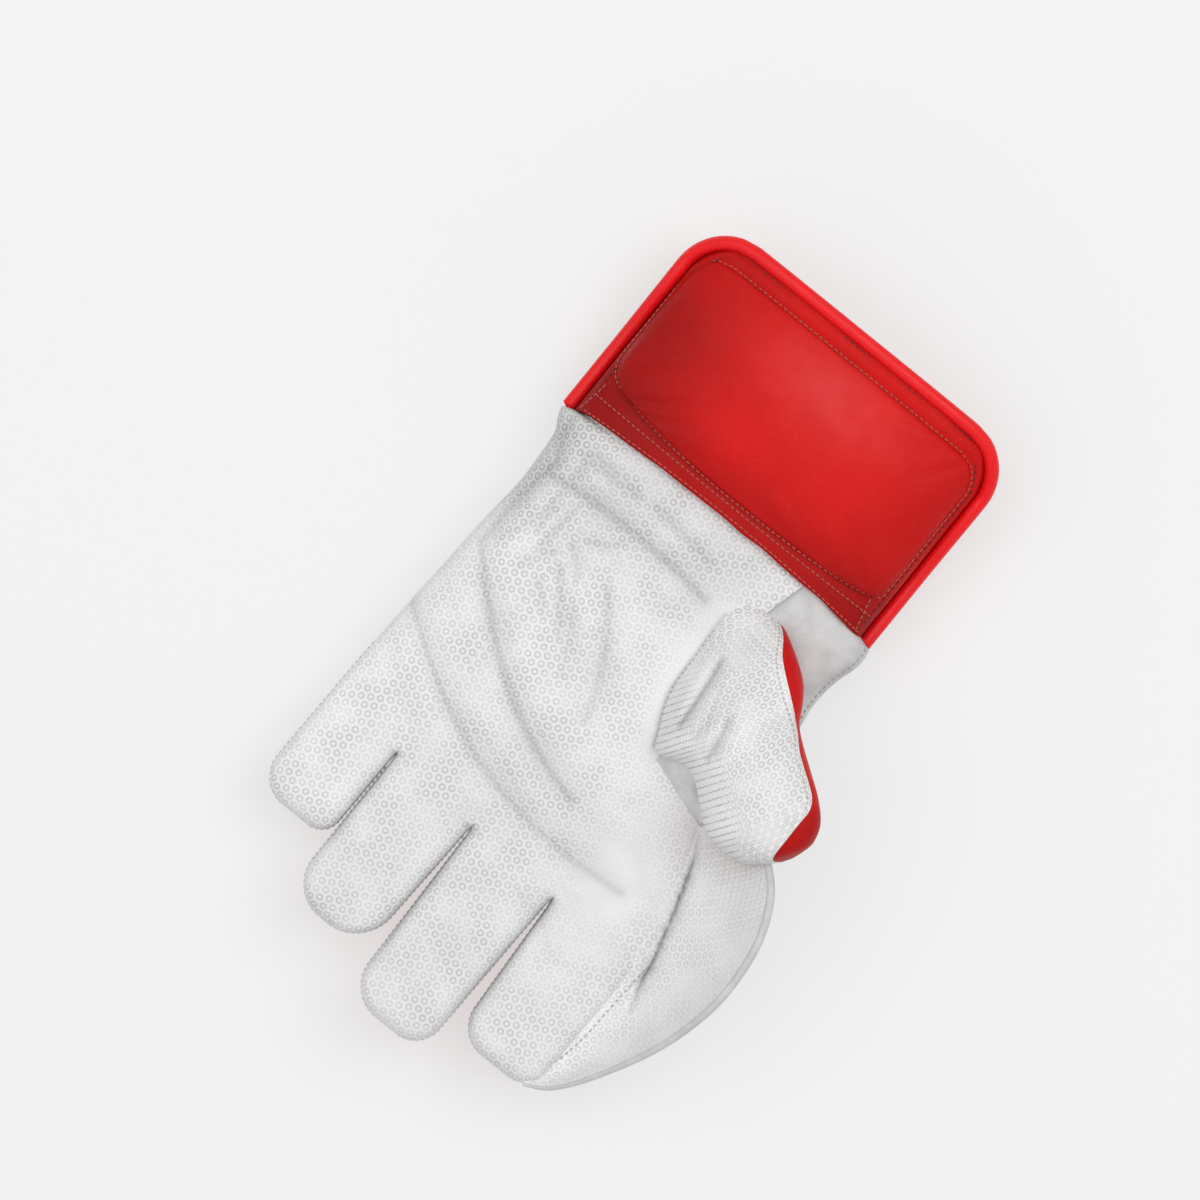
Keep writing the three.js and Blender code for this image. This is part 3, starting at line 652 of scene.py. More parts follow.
def weld(made):
    """Joins points that lie together and drops those that no face uses."""
    mesh = made.data
    work = bmesh.new()
    work.from_mesh(mesh)
    loose = [v for v in work.verts if not v.link_faces]
    bmesh.ops.delete(work, geom=loose, context="VERTS")
    bmesh.ops.remove_doubles(work, verts=work.verts, dist=WELD * MM)
    work.to_mesh(mesh)
    work.free()
    mesh.shade_smooth()


def thicken(made, thickness, offset=-1):
    solid = made.modifiers.new("wall", "SOLIDIFY")
    solid.thickness = thickness * MM
    solid.offset = offset
    solid.use_even_offset = False


def inflate(made, pressure, most):
    """Lets padding push a piece of leather outwards with Cloth, while its sewn places stay."""
    mesh = made.data
    before, after = np.empty((2, len(mesh.vertices) * 3))
    mesh.vertices.foreach_get("co", before)
    held = np.empty(len(mesh.vertices))
    mesh.attributes["sewn"].data.foreach_get("value", held)
    group = made.vertex_groups.new(name="held")
    group.add(np.flatnonzero(held > 0.5).tolist(), 1.0, "REPLACE")
    cloth = made.modifiers.new("padding", "CLOTH")
    settings = cloth.settings
    settings.vertex_group_mass = "held"
    settings.use_pressure = True
    settings.uniform_pressure_force = pressure
    settings.effector_weights.gravity = 0
    settings.tension_stiffness = PAD_STIFFNESS
    settings.compression_stiffness = PAD_STIFFNESS
    settings.bending_stiffness = PAD_BENDING
    scene = bpy.context.scene
    for number in range(1, CLOTH_FRAMES + 1):
        scene.frame_set(number)
    shaped = made.evaluated_get(bpy.context.evaluated_depsgraph_get()).to_mesh()
    shaped.vertices.foreach_get("co", after)
    made.modifiers.remove(cloth)
    scene.frame_set(1)
    move = (after - before).reshape(-1, 3)
    reach = np.linalg.norm(move, axis=1, keepdims=True)
    move *= np.minimum(1, most * MM / np.maximum(reach, 1e-9))
    mesh.vertices.foreach_set("co", (before.reshape(-1, 3) + move).ravel())
    mesh.update()


def arc_uv(points):
    """Pattern coordinates that follow the lengths of a grid's rows and columns."""
    across = lengths_along(points)
    along = lengths_along(points[:, points.shape[1] // 2])[:, None]
    return joined(across - across[:, -1:] / 2, along)


def tube_points(route, radius, sides):
    """Rings of points round a route, with rounded ends."""
    route = np.asarray(route, float)
    tangent = np.gradient(route, axis=0)
    tangent /= np.linalg.norm(tangent, axis=1)[:, None]
    side = np.cross(tangent, (0, 0, 1))
    length = np.linalg.norm(side, axis=1)[:, None]
    side = np.where(length > 1e-6, side / np.maximum(length, 1e-6), [1.0, 0.0, 0.0])
    over = np.cross(side, tangent)
    angle = np.linspace(0, 2 * math.pi, sides, endpoint=False)[None, :, None]
    size = np.broadcast_to(np.asarray(radius, float), (len(route),)).copy()
    rings = route[:, None] + size[:, None, None] * (
        np.cos(angle) * side[:, None] + np.sin(angle) * over[:, None])
    first = np.repeat(route[:1, None] - 0.5 * size[0] * tangent[:1, None], sides, axis=1)
    last = np.repeat(route[-1:, None] + 0.5 * size[-1] * tangent[-1:, None], sides, axis=1)
    return np.concatenate([first, rings, last], axis=0)


def resample(route, count):
    reach = lengths_along(route)
    places = np.linspace(0, reach[-1], count)
    return np.stack([np.interp(places, reach, route[:, k]) for k in range(3)], -1)


def sew(name, routes, finish, slot, pitch, share, radius):
    """Separate stitches along routes; a stitch fills the given share of the pitch."""
    points, faces, count = [], [], 0
    parts, sides = 8, 6
    for route in routes:
        route = np.asarray(route, float)
        number = max(2, int(round(float(lengths_along(route)[-1]) / pitch)))
        fine = resample(route, number * parts + 1)
        inside = max(3, int(round(parts * share)) + 1)
        for k in range(number):
            piece = fine[k * parts:k * parts + inside]
            sizes = radius * np.sin(np.linspace(0.45, math.pi - 0.45, len(piece))) ** 0.5
            rings = tube_points(piece, sizes, sides)
            points.append(rings.reshape(-1, 3))
            faces.append(grid_faces(len(rings), sides, True, True) + count)
            count += len(points[-1])
    dress(make_object(name, np.concatenate(points), np.concatenate(faces)), finish, slot)


# Materials

class Finish:
    """A material with short calls for its nodes; lengths in them are millimetres."""

    def __init__(self, name, roughness):
        self.material = bpy.data.materials.new(name)
        self.material.use_nodes = True
        self.tree = self.material.node_tree
        self.shader = self.tree.nodes["Principled BSDF"]
        self.shader.inputs["Roughness"].default_value = roughness
        place = self.tree.nodes.new("ShaderNodeTexCoord")
        self.pattern = place.outputs["UV"]
        scaled = self.tree.nodes.new("ShaderNodeVectorMath")
        scaled.operation = "SCALE"
        scaled.inputs["Scale"].default_value = 1 / MM
        self.put(scaled.inputs[0], place.outputs["Object"])
        self.place = scaled.outputs[0]

    def put(self, socket, value):
        if isinstance(value, bpy.types.NodeSocket):
            self.tree.links.new(value, socket)
        else:
            socket.default_value = value

    def node(self, kind, inputs):
        """A new node with the values or the links of its inputs."""
        node = self.tree.nodes.new(kind)
        for socket, value in dict(inputs).items():
            self.put(node.inputs[socket], value)
        return node

    def math(self, operation, *values):
        node = self.node("ShaderNodeMath", enumerate(values))
        node.operation = operation
        return node.outputs[0]

    def add(self, a, b):
        return self.math("ADD", a, b)

    def minus(self, a, b):
        return self.math("SUBTRACT", a, b)

    def times(self, a, b):
        return self.math("MULTIPLY", a, b)

    def noise(self, size, detail=3.0, rough=0.5):
        inputs = {"Vector": self.place, "Scale": 1 / size, "Detail": detail, "Roughness": rough}
        return self.node("ShaderNodeTexNoise", inputs).outputs["Fac"]

    def cells(self, size):
        node = self.node("ShaderNodeTexVoronoi", {"Vector": self.place, "Scale": 1 / size})
        node.feature = "DISTANCE_TO_EDGE"
        return node.outputs["Distance"]

    def span(self, value, low, high, to_low=0.0, to_high=1.0):
        inputs = {"Value": value, "From Min": low, "From Max": high, "To Min": to_low, "To Max": to_high}
        node = self.node("ShaderNodeMapRange", inputs)
        node.interpolation_type = "SMOOTHSTEP"
        return node.outputs["Result"]

    def blend(self, share, a, b):
        node = self.tree.nodes.new("ShaderNodeMix")
        node.data_type = "RGBA"
        for socket, value in zip((0, 6, 7), (share, a, b)):
            self.put(node.inputs[socket], value)
        return node.outputs[2]

    def attribute(self, name):
        node = self.tree.nodes.new("ShaderNodeAttribute")
        node.attribute_name = name
        return node.outputs["Fac"]

    def finish(self, colour, roughness=None, height=None, depth=0.2):
        self.put(self.shader.inputs["Base Color"], colour)
        if roughness is not None:
            self.put(self.shader.inputs["Roughness"], roughness)
        if height is not None:
            bump = self.tree.nodes.new("ShaderNodeBump")
            bump.inputs["Distance"].default_value = depth * MM
            self.put(bump.inputs["Height"], height)
            self.put(self.shader.inputs["Normal"], bump.outputs[0])
        return self.material


def grey(level, tint=0.0):
    return (level, level, level * (1 - tint), 1)


def darker(colour, share):
    return (*(share * c for c in colour[:3]), 1)


def facing_leather():
    """White leather embossed with rings in a honeycomb."""
    m = Finish("embossed_facing", 0.55)
    split = m.tree.nodes.new("ShaderNodeSeparateXYZ")
    m.put(split.inputs[0], m.pattern)
    wander = m.times(m.minus(m.noise(26, 1), 0.5), 1.6)
    u = m.add(m.times(split.outputs[0], 1 / PATTERN_SCALE), wander)
    v = m.times(split.outputs[1], 1 / PATTERN_SCALE)
    width = PITCH * math.sqrt(3)

    def nearest(value, size, offset):
        moved = m.minus(value, offset)
        whole = m.math("ROUND", m.math("DIVIDE", moved, size))
        return m.minus(moved, m.times(whole, size))

    offsets = []
    for shift in (0, 0.5):
        qx = nearest(u, width, shift * width)
        qy = nearest(v, PITCH, shift * PITCH)
        reach = m.math("SQRT", m.add(m.times(qx, qx), m.times(qy, qy)))
        offsets.append((m.math("ABSOLUTE", qx), m.math("ABSOLUTE", qy), reach))
    first = m.math("LESS_THAN", offsets[0][2], offsets[1][2])
    qx, qy, reach = (m.add(m.times(a, first), m.times(b, m.minus(1, first))) for a, b in zip(*offsets))
    slanted = m.add(m.times(qx, 0.866), m.times(qy, 0.5))
    border = m.minus(PITCH / 2, m.math("MAXIMUM", qy, slanted))
    ring = m.span(m.math("ABSOLUTE", m.minus(reach, RING_RADIUS)), 0.0, RING_WIDTH, 1, 0)
    comb = m.span(border, 0.0, COMB_WIDTH, 1, 0)
    dot = m.span(reach, 0.0, DOT_RADIUS, 1, 0)
    ribs = m.attribute("ribs")
    seam = m.math("ABSOLUTE", nearest(u, width / 2, width / 4))
    dash = m.math("ABSOLUTE", nearest(v, PITCH / 2, 0))
    rib = m.times(m.span(seam, 0.0, RIB_WIDTH, 1, 0), m.span(dash, 0.3, 0.8, 1, 0.3))
    rib = m.times(m.times(rib, ribs), m.span(m.noise(4, 2), 0.3, 0.6, 0.5, 1))
    strength = m.times(m.attribute("emboss"), m.span(m.noise(11, 2), 0.3, 0.7, 0.5, 1.08))
    strength = m.times(strength, m.minus(1, m.times(ribs, 0.45)))
    ring = m.times(ring, strength)
    raised = m.times(m.add(m.times(comb, 0.8), dot), strength)

    mottled = m.span(m.noise(30, 4, 0.6), 0.3, 0.7)
    base = m.blend(mottled, grey(0.81, 0.002), grey(0.735, 0.004))
    # Painted shade in the pressed rings and a painted highlight on the raised honeycomb and dots
    base = m.blend(m.times(ring, 0.42), base, grey(0.38))
    base = m.blend(m.times(raised, 0.5), base, grey(0.92))
    # Painted shadow between the ribs
    base = m.blend(m.times(rib, 0.75), base, grey(0.24))
    # Painted shadow in creases, grooves and gaps
    base = m.blend(m.attribute("crease"), base, grey(0.10, 0.02))
    height = m.minus(m.add(m.times(raised, 0.55), m.times(ring, -1.0)), m.times(rib, 1.4))
    height = m.add(height, m.times(m.noise(0.5, 2), 0.25))
    rough = m.span(m.noise(9, 3), 0.3, 0.7, 0.46, 0.62)
    return m.finish(base, rough, height, 0.22)


def plain_leather(name, light, dark, roughness, grain, depth, gloss=0.25, cloud=38):
    """Leather with fine grain and cloudy colour; painted shading, a painted sheen and painted shadow in
    folds come from values at its points.
    """
    m = Finish(name, roughness)
    cloudy = m.span(m.noise(cloud, 4, 0.6), 0.3, 0.72)
    pores = m.span(m.cells(grain), 0.0, 0.16)
    base = m.blend(cloudy, light, dark)
    deep = darker(dark, 0.45)
    base = m.blend(m.times(m.minus(1, pores), 0.22), base, deep)
    # Painted shade: darker where the points ask for it
    base = m.blend(m.attribute("shade"), base, darker(dark, 0.5))
    # Painted sheen: lighter colour where the points ask for it
    base = m.blend(m.attribute("rubbed"), base, (*(0.95 * c + 0.05 for c in light[:3]), 1))
    # Painted shadow in creases, grooves and gaps
    base = m.blend(m.attribute("crease"), base, deep)
    height = m.add(pores, m.times(m.noise(3.5, 3), 1.4))
    rough = m.span(m.noise(12, 3), 0.3, 0.7, roughness - 0.07, roughness + 0.07)
    m.shader.inputs["Specular IOR Level"].default_value = gloss
    return m.finish(base, rough, height, depth)


def thread(name, colour):
    m = Finish(name, 0.7)
    twist = m.noise(0.5, 2)
    return m.finish(m.blend(twist, colour, darker(colour, 0.6)), None, twist, 0.08)


FACING = facing_leather()
SMOOTH = plain_leather("smooth_white_leather", grey(0.67), grey(0.53), 0.5, 0.6, 0.05, cloud=11)
# Lighter copy of the smooth white leather: painted light for the thumb's gusset, which lies in the thumb's
# shade
SMOOTH_PAINTED_LIGHT = plain_leather("smooth_white_leather_painted_light", grey(0.76), grey(0.63), 0.5, 0.6, 0.05, cloud=9)
RED = plain_leather("red_leather", (0.72, 0.009, 0.008, 1), (0.60, 0.008, 0.007, 1), 0.46, 0.9, 0.06,
                    0.12)
PIPING = plain_leather("bright_red_piping", (0.88, 0.006, 0.010, 1), (0.78, 0.006, 0.009, 1), 0.36,
                       1.2, 0.04, 0.3)
RED_THREAD = thread("pale_red_thread", (0.56, 0.11, 0.08, 1))
DARK_THREAD = thread("dark_red_thread", (0.14, 0.010, 0.010, 1))
WHITE_THREAD = thread("grey_thread", (0.50, 0.50, 0.50, 1))


def paint(made, **layers):
    """Values for each point, which the materials read by name."""
    for name, values in layers.items():
        layer = made.data.attributes.new(name, "FLOAT", "POINT")
        layer.data.foreach_set("value", np.ascontiguousarray(values, dtype=float).ravel())


def dress(made, material, slot, *nodes):
    """Gives an object its material and says which solids it stands for."""
    made.data.materials.append(material)
    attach(made, "root")
    if nodes:
        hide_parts(*nodes)
    return made


# Palm and back of the hand

def crease_paint(x, y, folds, strength, width=CREASE_WIDTH):
    """Painted shadow in the bottom of folds."""
    paint = np.zeros(np.shape(x))
    for fold in folds:
        route = curve_points(fold, 8)
        held = 0.7 * near_route(x, y, route, width) + 0.3 * near_route(x, y, route, 0.8 * fold[4])
        paint = np.maximum(paint, strength * fold[3] * held)
    return paint


def web_crease_paint(x, y):
    """Painted shadow: a dark line in the fold beside the web, which fades out at both ends."""
    fade = smooth(y, 88, 108) * smooth(y, 159, 140)
    rough = 0.75 + 0.35 * soft_noise(x, y, 1.3, seed=16)
    line = near_route(x, y, WEB_CREASE, 1.7)
    soft = near_route(x, y, WEB_CREASE, 3.4)
    return fade * rough * np.maximum(line, 0.34 * soft)


def hand_mesh(front, step):
    """Points, pattern coordinates, faces and roundness of the front or back of the hand."""
    points, faces, uv, height, count = [], [], [], [], 0
    for index in range(len(FINGERS)):
        grid, pattern, rise = finger_grid(index, front, step)
        points.append(grid.reshape(-1, 3))
        uv.append(pattern.reshape(-1, 2))
        height.append(rise.ravel())
        faces.append(grid_faces(*rise.shape, False, not front) + count)
        count += rise.size
    return tuple(np.concatenate(part) for part in (points, uv, faces, height))


palm_points, palm_uv, palm_faces, _ = hand_mesh(True, FRONT_STEP)
palm = make_object("palm_leather", palm_points, palm_faces, palm_uv)
px, py = palm_points[:, :2].T
foot_route = thumb_foot_route()
foot_coarse = foot_route[::4]
worn_zone = 0.92 * np.exp(-(((px + 47) / 18) ** 2) - (((py - 124) / 34) ** 2))
worn_zone = np.maximum(worn_zone, 0.85 * near_route(px, py, foot_coarse, 8))
deep_zone = smooth(px, 30, 66) * smooth(py, 80, 20)
# Painted shadow in the folds of the palm
palm_painted_shadow = crease_paint(px, py, FOLDS, 0.13)
# Painted shade: darker towards the wrist, a little darker away from the little finger's edge, darker along
# that edge by the wrist, and over the index, middle and ring fingers
palm_painted_shadow = palm_painted_shadow + 0.13 * smooth(py, 60, 10) * smooth(px, -40, 0) + 0.02 * smooth(px, 55, 40)
palm_painted_shadow = palm_painted_shadow + 0.08 * smooth(px, 50, 68) * smooth(py, 70, 20)
palm_painted_shadow = palm_painted_shadow + 0.06 * smooth(py, 80, 130) * smooth(px, 50, 30)
# Painted shadow in the fold beside the web
palm_painted_shadow = np.maximum(palm_painted_shadow, web_crease_paint(px, py))
# Painted shadow line where the thumb's face meets the palm
palm_painted_shadow = np.maximum(palm_painted_shadow, 0.4 * near_route(px, py, foot_coarse, 1.2))
paint(palm, emboss=(1 - worn_zone) * (1 + 0.3 * deep_zone), crease=palm_painted_shadow)
weld(palm)
thicken(palm, WALL)
dress(palm, FACING, "facing", "palm_facing")

back_points, back_uv, back_faces, back_height = hand_mesh(False, BACK_STEP)
on_side = back_height[back_faces].mean(axis=1) < SIDE_STRIP
for name, chosen, finish, slot in (
    ("hand_back_leather", ~on_side, RED, "red_leather"),
    ("hand_side_leather", on_side, SMOOTH, "smooth_leather"),
):
    made = make_object(name, back_points, back_faces[chosen], back_uv)
    weld(made)
    thicken(made, WALL)
    dress(made, finish, slot, "back_panel")


# Thumb

def thumb_half(name, start, end, face):
    """Face or back of the thumb, between two angles round it."""
    t = np.linspace(0, 1, 64)[None, :]
    angle = mix(start, end, t)
    points = thumb_surface(thumb_rows, angle)
    x, y = points[..., 0], points[..., 1]
    pattern = arc_uv(points)
    if face:
        up = smooth(np.sin(angle), 0.1, 0.6)
        points[..., 2] += fold_relief(x, y, THUMB_FOLDS) * up
        points[..., 2] += 0.35 * soft_noise(x, y, 9, seed=8) * up
        gathered = smooth(t, 0.60, 0.36) * smooth(thumb_rows, 0.08, 0.26)
        width = np.linalg.norm(np.diff(points, axis=1), axis=-1) * (1 + THUMB_GATHER * gathered)[:, 1:]
        across = np.concatenate([np.zeros_like(thumb_rows), np.cumsum(width[:, ::-1], axis=1)], axis=1)
        pattern = np.stack([THUMB_TIGHT * pattern[..., 1], across[:, ::-1]], -1)
    made = grid_object(name, points, pattern, flip=True)
    if face:
        emboss = 1 + 0.35 * smooth(t, 0.4, 0.1) * smooth(thumb_rows, 0.5, 0.3)
        # Painted shadow in the thumb's folds
        thumb_painted_shadow = crease_paint(x, y, THUMB_FOLDS, 0.24, THUMB_CREASE_WIDTH)
        paint(made, emboss=emboss, crease=thumb_painted_shadow, ribs=gathered)
    else:
        # Painted shade on the thumb's back, darker towards its tip
        paint(made, shade=0.25 + 0.4 * smooth(thumb_rows, 0.78, 0.92) + 0 * t)
    weld(made)
    return made


thumb_rows = np.linspace(*THUMB_ENDS, 110)[:, None]
near_seam = thumb_near_seam(thumb_rows)
thumb_face = thumb_half("thumb_face_leather", THUMB_FAR_SEAM, near_seam, True)
dress(thumb_face, FACING, "facing", "thumb_face")
thumb_back = thumb_half("thumb_back_leather", near_seam, 2 * math.pi + THUMB_FAR_SEAM, False)
dress(thumb_back, RED, "red_leather", "thumb_back")


# Web and its rolled binding

web_u = np.linspace(-0.15, 0.97, 56)[None, :]
web_v = np.linspace(0, 1, 130)[:, None]
web_points = web_point(web_u, web_v)
web_pattern = arc_uv(web_points)
web_x, web_y = web_points[..., 0], web_points[..., 1]
# Painted shadow in the fold beside the web
web_painted_shadow = web_crease_paint(web_x, web_y)
web_points[..., 2] -= WEB_CREASE_DEPTH * near_route(web_x, web_y, WEB_CREASE, 1.4)
web = grid_object("web_leather", web_points, web_pattern)
web_ribs = 0.55 * smooth(web_v, 0.36, 0.18) * smooth(web_u, 0.15, 0.4)
paint(web, emboss=np.full(web_painted_shadow.shape, 0.75), crease=web_painted_shadow, ribs=web_ribs)
thicken(web, WEB_WALL, 0)
dress(web, FACING, "facing", "web_panel")

edge_v = np.linspace(0, 1, 120)
edge_size = BINDING_RADIUS * mix(1, 0.5, smooth(edge_v, 0.5, 0.95))
edge_rings = tube_points(web_point(np.ones_like(edge_v), edge_v), edge_size, 12)
binding = grid_object("web_binding_roll", edge_rings, closed=True, flip=True)
dress(binding, SMOOTH, "smooth_leather", "web_binding")


# Gussets

gusset_y = np.linspace(-HEM_TUCK, GUSSET_END, 38)[:, None]
gusset_t = np.sin(np.linspace(-math.pi / 2, 0.3, 30))[None, :]
gusset_t = (gusset_t + 1) / (gusset_t.max() + 1)
gusset_x = mix(hand_edge(gusset_y, -1), np.interp(gusset_y, *GUSSET_INNER), gusset_t)
gusset_points = joined(gusset_x, gusset_y, body_height(gusset_x, gusset_y))
outward = np.cross(np.gradient(gusset_points, axis=1), np.gradient(gusset_points, axis=0))
outward /= np.linalg.norm(outward, axis=-1, keepdims=True)
gusset_rise = mix(GUSSET_ABOVE, 0.3, smooth(gusset_y, 34, 47)) * (1 - 0.3 * smooth(gusset_t, 0.7, 1))
gusset_rise = gusset_rise + 0.3 * soft_noise(gusset_x, gusset_y, 7, seed=15)
gusset_points = gusset_points + outward * gusset_rise[..., None]
wrist_gusset = grid_object("wrist_gusset_leather", gusset_points)
# Painted shadow along the gusset's inner edge
paint(wrist_gusset, crease=0.35 * smooth(gusset_t, 0.93, 1.0) + 0 * gusset_y)
thicken(wrist_gusset, GUSSET_WALL)
dress(wrist_gusset, SMOOTH, "smooth_leather", "wrist_gusset")


def thumb_gusset_points(u, v):
    """A strip of leather from the palm (v = 0) up to the thumb (v = 1)."""
    low = thumb_point(mix(0.78, 0.48, u) * THUMB_REACH, mix(0.565, 0.765, u) * THUMB_WIDTH, 0 * u)
    low[..., 2] = hand_top(low[..., 1]) - THUMB_GUSSET_SINK
    share = mix(0.715, 0.43, u)
    height = THUMB_FOOT + THUMB_RISE * read_column(THUMB_ROWS, "rise", share)
    high = thumb_point(share * THUMB_REACH, mix(0.43, 0.53, u) * THUMB_WIDTH, height)
    return mix(low, high, v[..., None])


strip_u, strip_v = np.meshgrid(np.linspace(0, 1, 24), np.linspace(0, 1, 16))
# Painted shadow on the strip: a little darker at both its edges and darkest up by the thumb at one end
strip_painted_shadow = 0.12 * smooth(strip_v, 0.4, 0.8) + 0.1 * smooth(strip_v, 0.3, 0.1)
strip_painted_shadow = strip_painted_shadow + 0.7 * smooth(strip_v, 0.4, 0.75) * smooth(strip_u, 0.6, 0.1)
thumb_gusset = grid_object("thumb_gusset_leather", thumb_gusset_points(strip_u, strip_v), flip=True)
paint(thumb_gusset, crease=strip_painted_shadow)
thicken(thumb_gusset, THUMB_GUSSET_WALL, 0)
# The gusset gets the lighter copy of the smooth leather as painted light
dress(thumb_gusset, SMOOTH_PAINTED_LIGHT, "smooth_leather", "thumb_gusset")


# Cuff

def cuff_shade(x, y):
    """Painted shading on the red: darker towards the little finger and along the wrist, and a little
    towards the thumb.
    """
    side = smooth(x, 8, 66)
    thumb = 0.36 * smooth(x, -10, -58)
    wrist = 0.45 * np.exp(-(((y + 10) / 9) ** 2)) + 0.35 * smooth(y, -9, -3)
    paint = 0.85 * side * (1 - 0.45 * smooth(y, -40, -72)) + thumb + wrist * (1 - 0.6 * side)
    return np.clip(paint, 0, 1)


def cuff_panel(name, front):
    """Front or back half of the cuff; u runs across it and v from the hem to its end."""
    u = eased(110)[None, :]
    v = np.sin(np.linspace(0, math.pi / 2, 100))[:, None]
    points = cuff_point(u, v, front, PANEL_INSET if front else 0)
    x, y = points[..., 0], points[..., 1]
    y += 0.5 * soft_noise(x, y, 9, seed=14) * smooth(v, 0.2, 0)
    if front:
        inside = np.minimum((1 - np.abs(u)) * CUFF_HALF, (1 - v) * CUFF_LENGTH)
        points[..., 2] += 1.2 * np.exp(-(((inside - 6.0) / 2.8) ** 2)) * smooth(v, 0.05, 0.2)
        hem = CUFF_OVERLAP - HEM_BOW * (1 - u * u) * (1 - v) - y
        points[..., 2] += 0.5 * np.exp(-(((hem - 4.5) / 2.2) ** 2))
        points[..., 2] += 0.30 * soft_noise(x, y, 13, seed=11)
    made = grid_object(name, points, flip=front)
    # Painted shade over the panel
    paint(made, shade=cuff_shade(x, y))
    if front:
        # Painted shadow in the groove inside the piping and along the pad's seam by the wrist
        groove = 0.8 * np.exp(-((inside / 3.0) ** 2)) * smooth(v, 0.02, 0.1)
        seam = pad_start(np.clip((x - PAD_MIDDLE) / PAD_HALF, -1, 1))
        wrist = np.exp(-(((y - seam) / 2.2) ** 2)) * smooth(np.abs(x - PAD_MIDDLE), 62, 52)
        paint(made, crease=0.75 * np.maximum(groove, 0.8 * wrist))
    weld(made)
    thicken(made, CUFF_LEATHER)
    dress(made, RED, "red_leather", "cuff_front" if front else "cuff_back")


cuff_panel("cuff_front_leather", True)
cuff_panel("cuff_back_leather", False)


def pad_crown(u, v):
    """Height of the pad: a thin edge, a welt just inside it and the crown."""
    side = (1 - np.abs(u)) * PAD_HALF / PAD_SHOULDER
    end = np.minimum(1.6 * v, 1 - v) * (PAD_START - PAD_END) / PAD_SHOULDER
    welt = PAD_WELT * smooth(np.minimum(side, end), 0, 0.16)
    crown = PAD_CROWN - PAD_EDGE - PAD_WELT
    return PAD_EDGE + welt + crown * np.sqrt(smooth(side, 0, 1.5) * smooth(end, 0, 1.5))


def rubbed(x, y):
    """Painted sheen: lighter red over the middle of the pad."""
    place = ((x - 2) / 26) ** 2 + ((y + 58) / 14) ** 2
    return 0.5 * np.exp(-place) * (1 + 0.3 * soft_noise(x, y, 5, seed=17))


pad_u = eased(120)[None, :]
pad_v = (eased(90)[:, None] + 1) / 2
pad_points = pad_point(pad_u, pad_v)
pad_x, pad_y = pad_points[..., 0], pad_points[..., 1]
pad_rise = pad_crown(pad_u, pad_v)
pad_wrinkles = fold_relief(pad_x, pad_y, PAD_FOLDS) + 0.35 * soft_noise(pad_x, pad_y, 21, seed=12)
pad_wrinkles = pad_wrinkles + 0.12 * soft_noise(pad_x, pad_y, 6, seed=13)
pad_points[..., 2] += pad_rise + pad_wrinkles * smooth(pad_rise, 1.0, 3.0)
pad = grid_object("cuff_pad_leather", pad_points, flip=True)
# Painted shade over the pad and a painted shadow along its low edge by the stitches
paint(pad, shade=cuff_shade(pad_x, pad_y), crease=0.5 * smooth(pad_rise, 1.4, 0.4))
# A painted sheen over the middle of the pad
paint(pad, sewn=pad_rise < PAD_LIP, rubbed=rubbed(pad_x, pad_y))
weld(pad)
inflate(pad, PAD_PRESSURE, PAD_SWELL)
thicken(pad, PAD_LEATHER)
dress(pad, RED, "red_leather", "cuff_pad")


# Stitches and piping of the cuff

def on_cuff(places):
    """A row just above the front of the cuff."""
    places = np.asarray(places, float)
    return cuff_surface(places[:, 0], places[:, 1], 0.5)


def round_mouth(along, side, front, inset=0.0):
    """Down the left side of the cuff, across its mouth and back up the right side."""
    left = cuff_point(-side * np.ones_like(along), along, front, inset)
    across = np.linspace(-side, side, 80)[1:-1]
    mouth = cuff_point(across, along[-1] * np.ones_like(across), front, inset)
    right = left[::-1].copy()
    right[:, 0] = 2 * CUFF_OFFSET - right[:, 0]
    return np.concatenate([left, mouth, right])


row_x = np.linspace(-58, 67, 60)
row_u = (row_x - CUFF_OFFSET) / CUFF_HALF
hem_row = np.stack([row_x, CUFF_OVERLAP - HEM_BOW * (1 - row_u**2) - 1.5], -1)
band_row = np.stack([row_x, -5.6 - 1.0 * row_u**2], -1)
side_v = np.linspace(0, 1, 40)
end_u = np.linspace(-1, 1, 60)
pad_ring = np.concatenate([
    pad_point(u, v, PAD_STITCH_LIFT)
    for u, v in ((-1, side_v), (end_u, 1), (1, side_v[::-1]), (-end_u, 0))
])
short_rows = [(-57, 0.5), (-56, -4), (-54, -12)], [(68, 0.5), (67, -4), (66, -12)]
red_routes = [on_cuff(hem_row), on_cuff(band_row), pad_ring]
red_routes += [on_cuff(curve_points(row, 20)) for row in short_rows]
sew("cuff_stitches", red_routes, RED_THREAD, "red_leather", 2.3, 0.64, 0.28)

groove_along = np.linspace(0.06, 1, 80) * (1 - GROOVE_INSET / CUFF_LENGTH)
groove_route = round_mouth(groove_along, GROOVE_SIDE, True, PANEL_INSET) + (0, 0, 0.25)
sew("cuff_groove_stitches", [groove_route], DARK_THREAD, "red_leather", 2.6, 0.6, 0.33)

for side, along, count in (
    ("front", np.linspace(0, 1, 90), 220),
    ("back", np.linspace(1 - CORNER_RADIUS / CUFF_LENGTH, 1, 30), 140),
):
    route = resample(round_mouth(along, 1, side == "front"), count)
    rings = tube_points(route, PIPING_RADIUS, 14)
    made = grid_object("cuff_piping_roll_" + side, rings, closed=True, flip=True)
    dress(made, PIPING, "red_piping", "cuff_piping_" + side)


# Stitches of the white leather

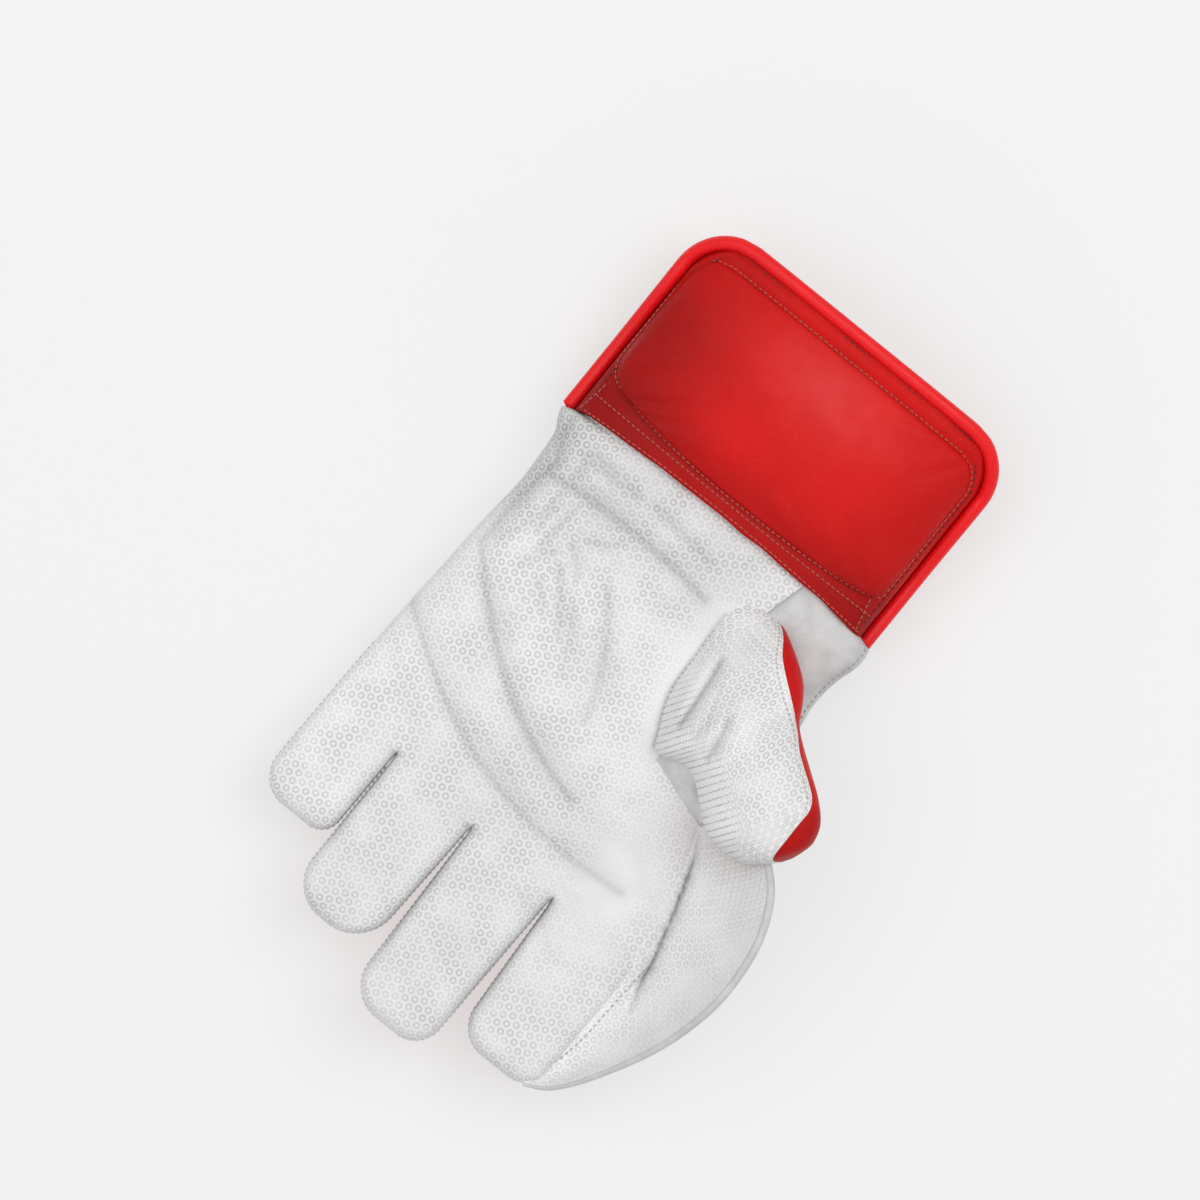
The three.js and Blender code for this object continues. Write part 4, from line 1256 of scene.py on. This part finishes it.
def finger_seam_route(index, side):
    """Along one side of a finger from where it parts to its tip, on the seam with its back."""
    grid, _, _ = finger_grid(index, True, 2.0)
    if side > 0:
        grid = grid[:, ::-1]
    border = index if side > 0 else index - 1
    if 0 <= border < len(FINGERS) - 1:
        start = FINGERS[border]["parts"] + 2
    else:
        start = OUTER_STITCHES_FROM
    keep = grid[:, 0, 1] > start
    route = mix(grid[keep, 0], grid[keep, 2], 0.3)
    route[:, 0] += 0.12 * side
    return route


# The index finger has no stitches towards the web
sides = [(index, side) for index in range(len(FINGERS)) for side in (-1, 1)][1:]
seam_routes = [finger_seam_route(index, side) for index, side in sides]
sew("seam_stitches", seam_routes, WHITE_THREAD, "smooth_leather", 2.2, 0.5, 0.22)

stitch_share = np.linspace(0.1, 0.84, 80)
thumb_row = thumb_surface(stitch_share, thumb_near_seam(stitch_share) - 0.16) + (0, 0, 0.1)
far_row = foot_route[4:] + (0, 0, 0.25)
sew("thumb_stitches", [thumb_row, far_row], WHITE_THREAD, "smooth_leather", 2.0, 0.55, 0.24)

gusset_row = np.array([
    [np.interp(row[0, 0] + GUSSET_MARGIN, row[:, 0], row[:, k]) for k in range(3)]
    for row in gusset_points[4:]
])
gusset_row += (-0.15, 0, 0.2)
sew("gusset_stitches", [gusset_row], WHITE_THREAD, "smooth_leather", 2.2, 0.5, 0.25)

web_row = web_point(np.full(60, 0.035), np.linspace(0.5, 0.97, 60)) + (0, 0, WEB_WALL / 2 + 0.1)
sew("web_stitches", [web_row], WHITE_THREAD, "smooth_leather", 2.4, 0.55, 0.32)


# Stage

right = np.array(PHOTO_RIGHT)
up = np.array(PHOTO_UP)
middle = np.array([*PHOTO_MIDDLE, PALM_HEIGHT]) * MM
for name, (across, upward, height, size, power) in LAMPS.items():
    lamp_data = bpy.data.lights.new(name, "AREA")
    lamp_data.shape = "DISK"
    lamp_data.size = size
    lamp_data.energy = power
    lamp = place_object(name, lamp_data)
    lamp.location = middle + across * right + upward * up + (0, 0, height)
    lamp.rotation_euler = (Vector(middle) - lamp.location).to_track_quat("-Z", "Y").to_euler()

world = bpy.data.worlds.new("studio")
world.use_nodes = True
world.node_tree.nodes["Background"].inputs["Color"].default_value = grey(1.0)
world.node_tree.nodes["Background"].inputs["Strength"].default_value = WORLD_STRENGTH
bpy.context.scene.world = world

floor_mesh = bpy.data.meshes.new("floor")
floor_corners = FLOOR_HALF * np.array([(-1, -1, 0), (1, -1, 0), (1, 1, 0), (-1, 1, 0)])
floor_mesh.from_pydata(floor_corners, [], [(0, 1, 2, 3)])
floor = place_object("floor", floor_mesh)
floor_finish = Finish("floor", 0.9)
floor_finish.shader.inputs["Specular IOR Level"].default_value = 0.1
floor_finish.shader.inputs["Emission Color"].default_value = grey(1.0)
floor_finish.shader.inputs["Emission Strength"].default_value = FLOOR_GLOW
floor.data.materials.append(floor_finish.finish(grey(FLOOR_GREY)))

camera_data = bpy.data.cameras.new("camera")
camera_data.sensor_width = SENSOR
camera_data.lens = SENSOR * CAMERA_DISTANCE / PHOTO_SPAN
camera_data.clip_end = 100
camera = place_object("camera", camera_data)
turn = Matrix((PHOTO_RIGHT, PHOTO_UP, (0, 0, 1))).transposed()
place = Vector(middle) + Vector((0, 0, CAMERA_DISTANCE * MM))
camera.matrix_world = Matrix.Translation(place) @ turn.to_4x4()
bpy.context.scene.camera = camera
bpy.context.scene.view_settings.view_transform = "Standard"
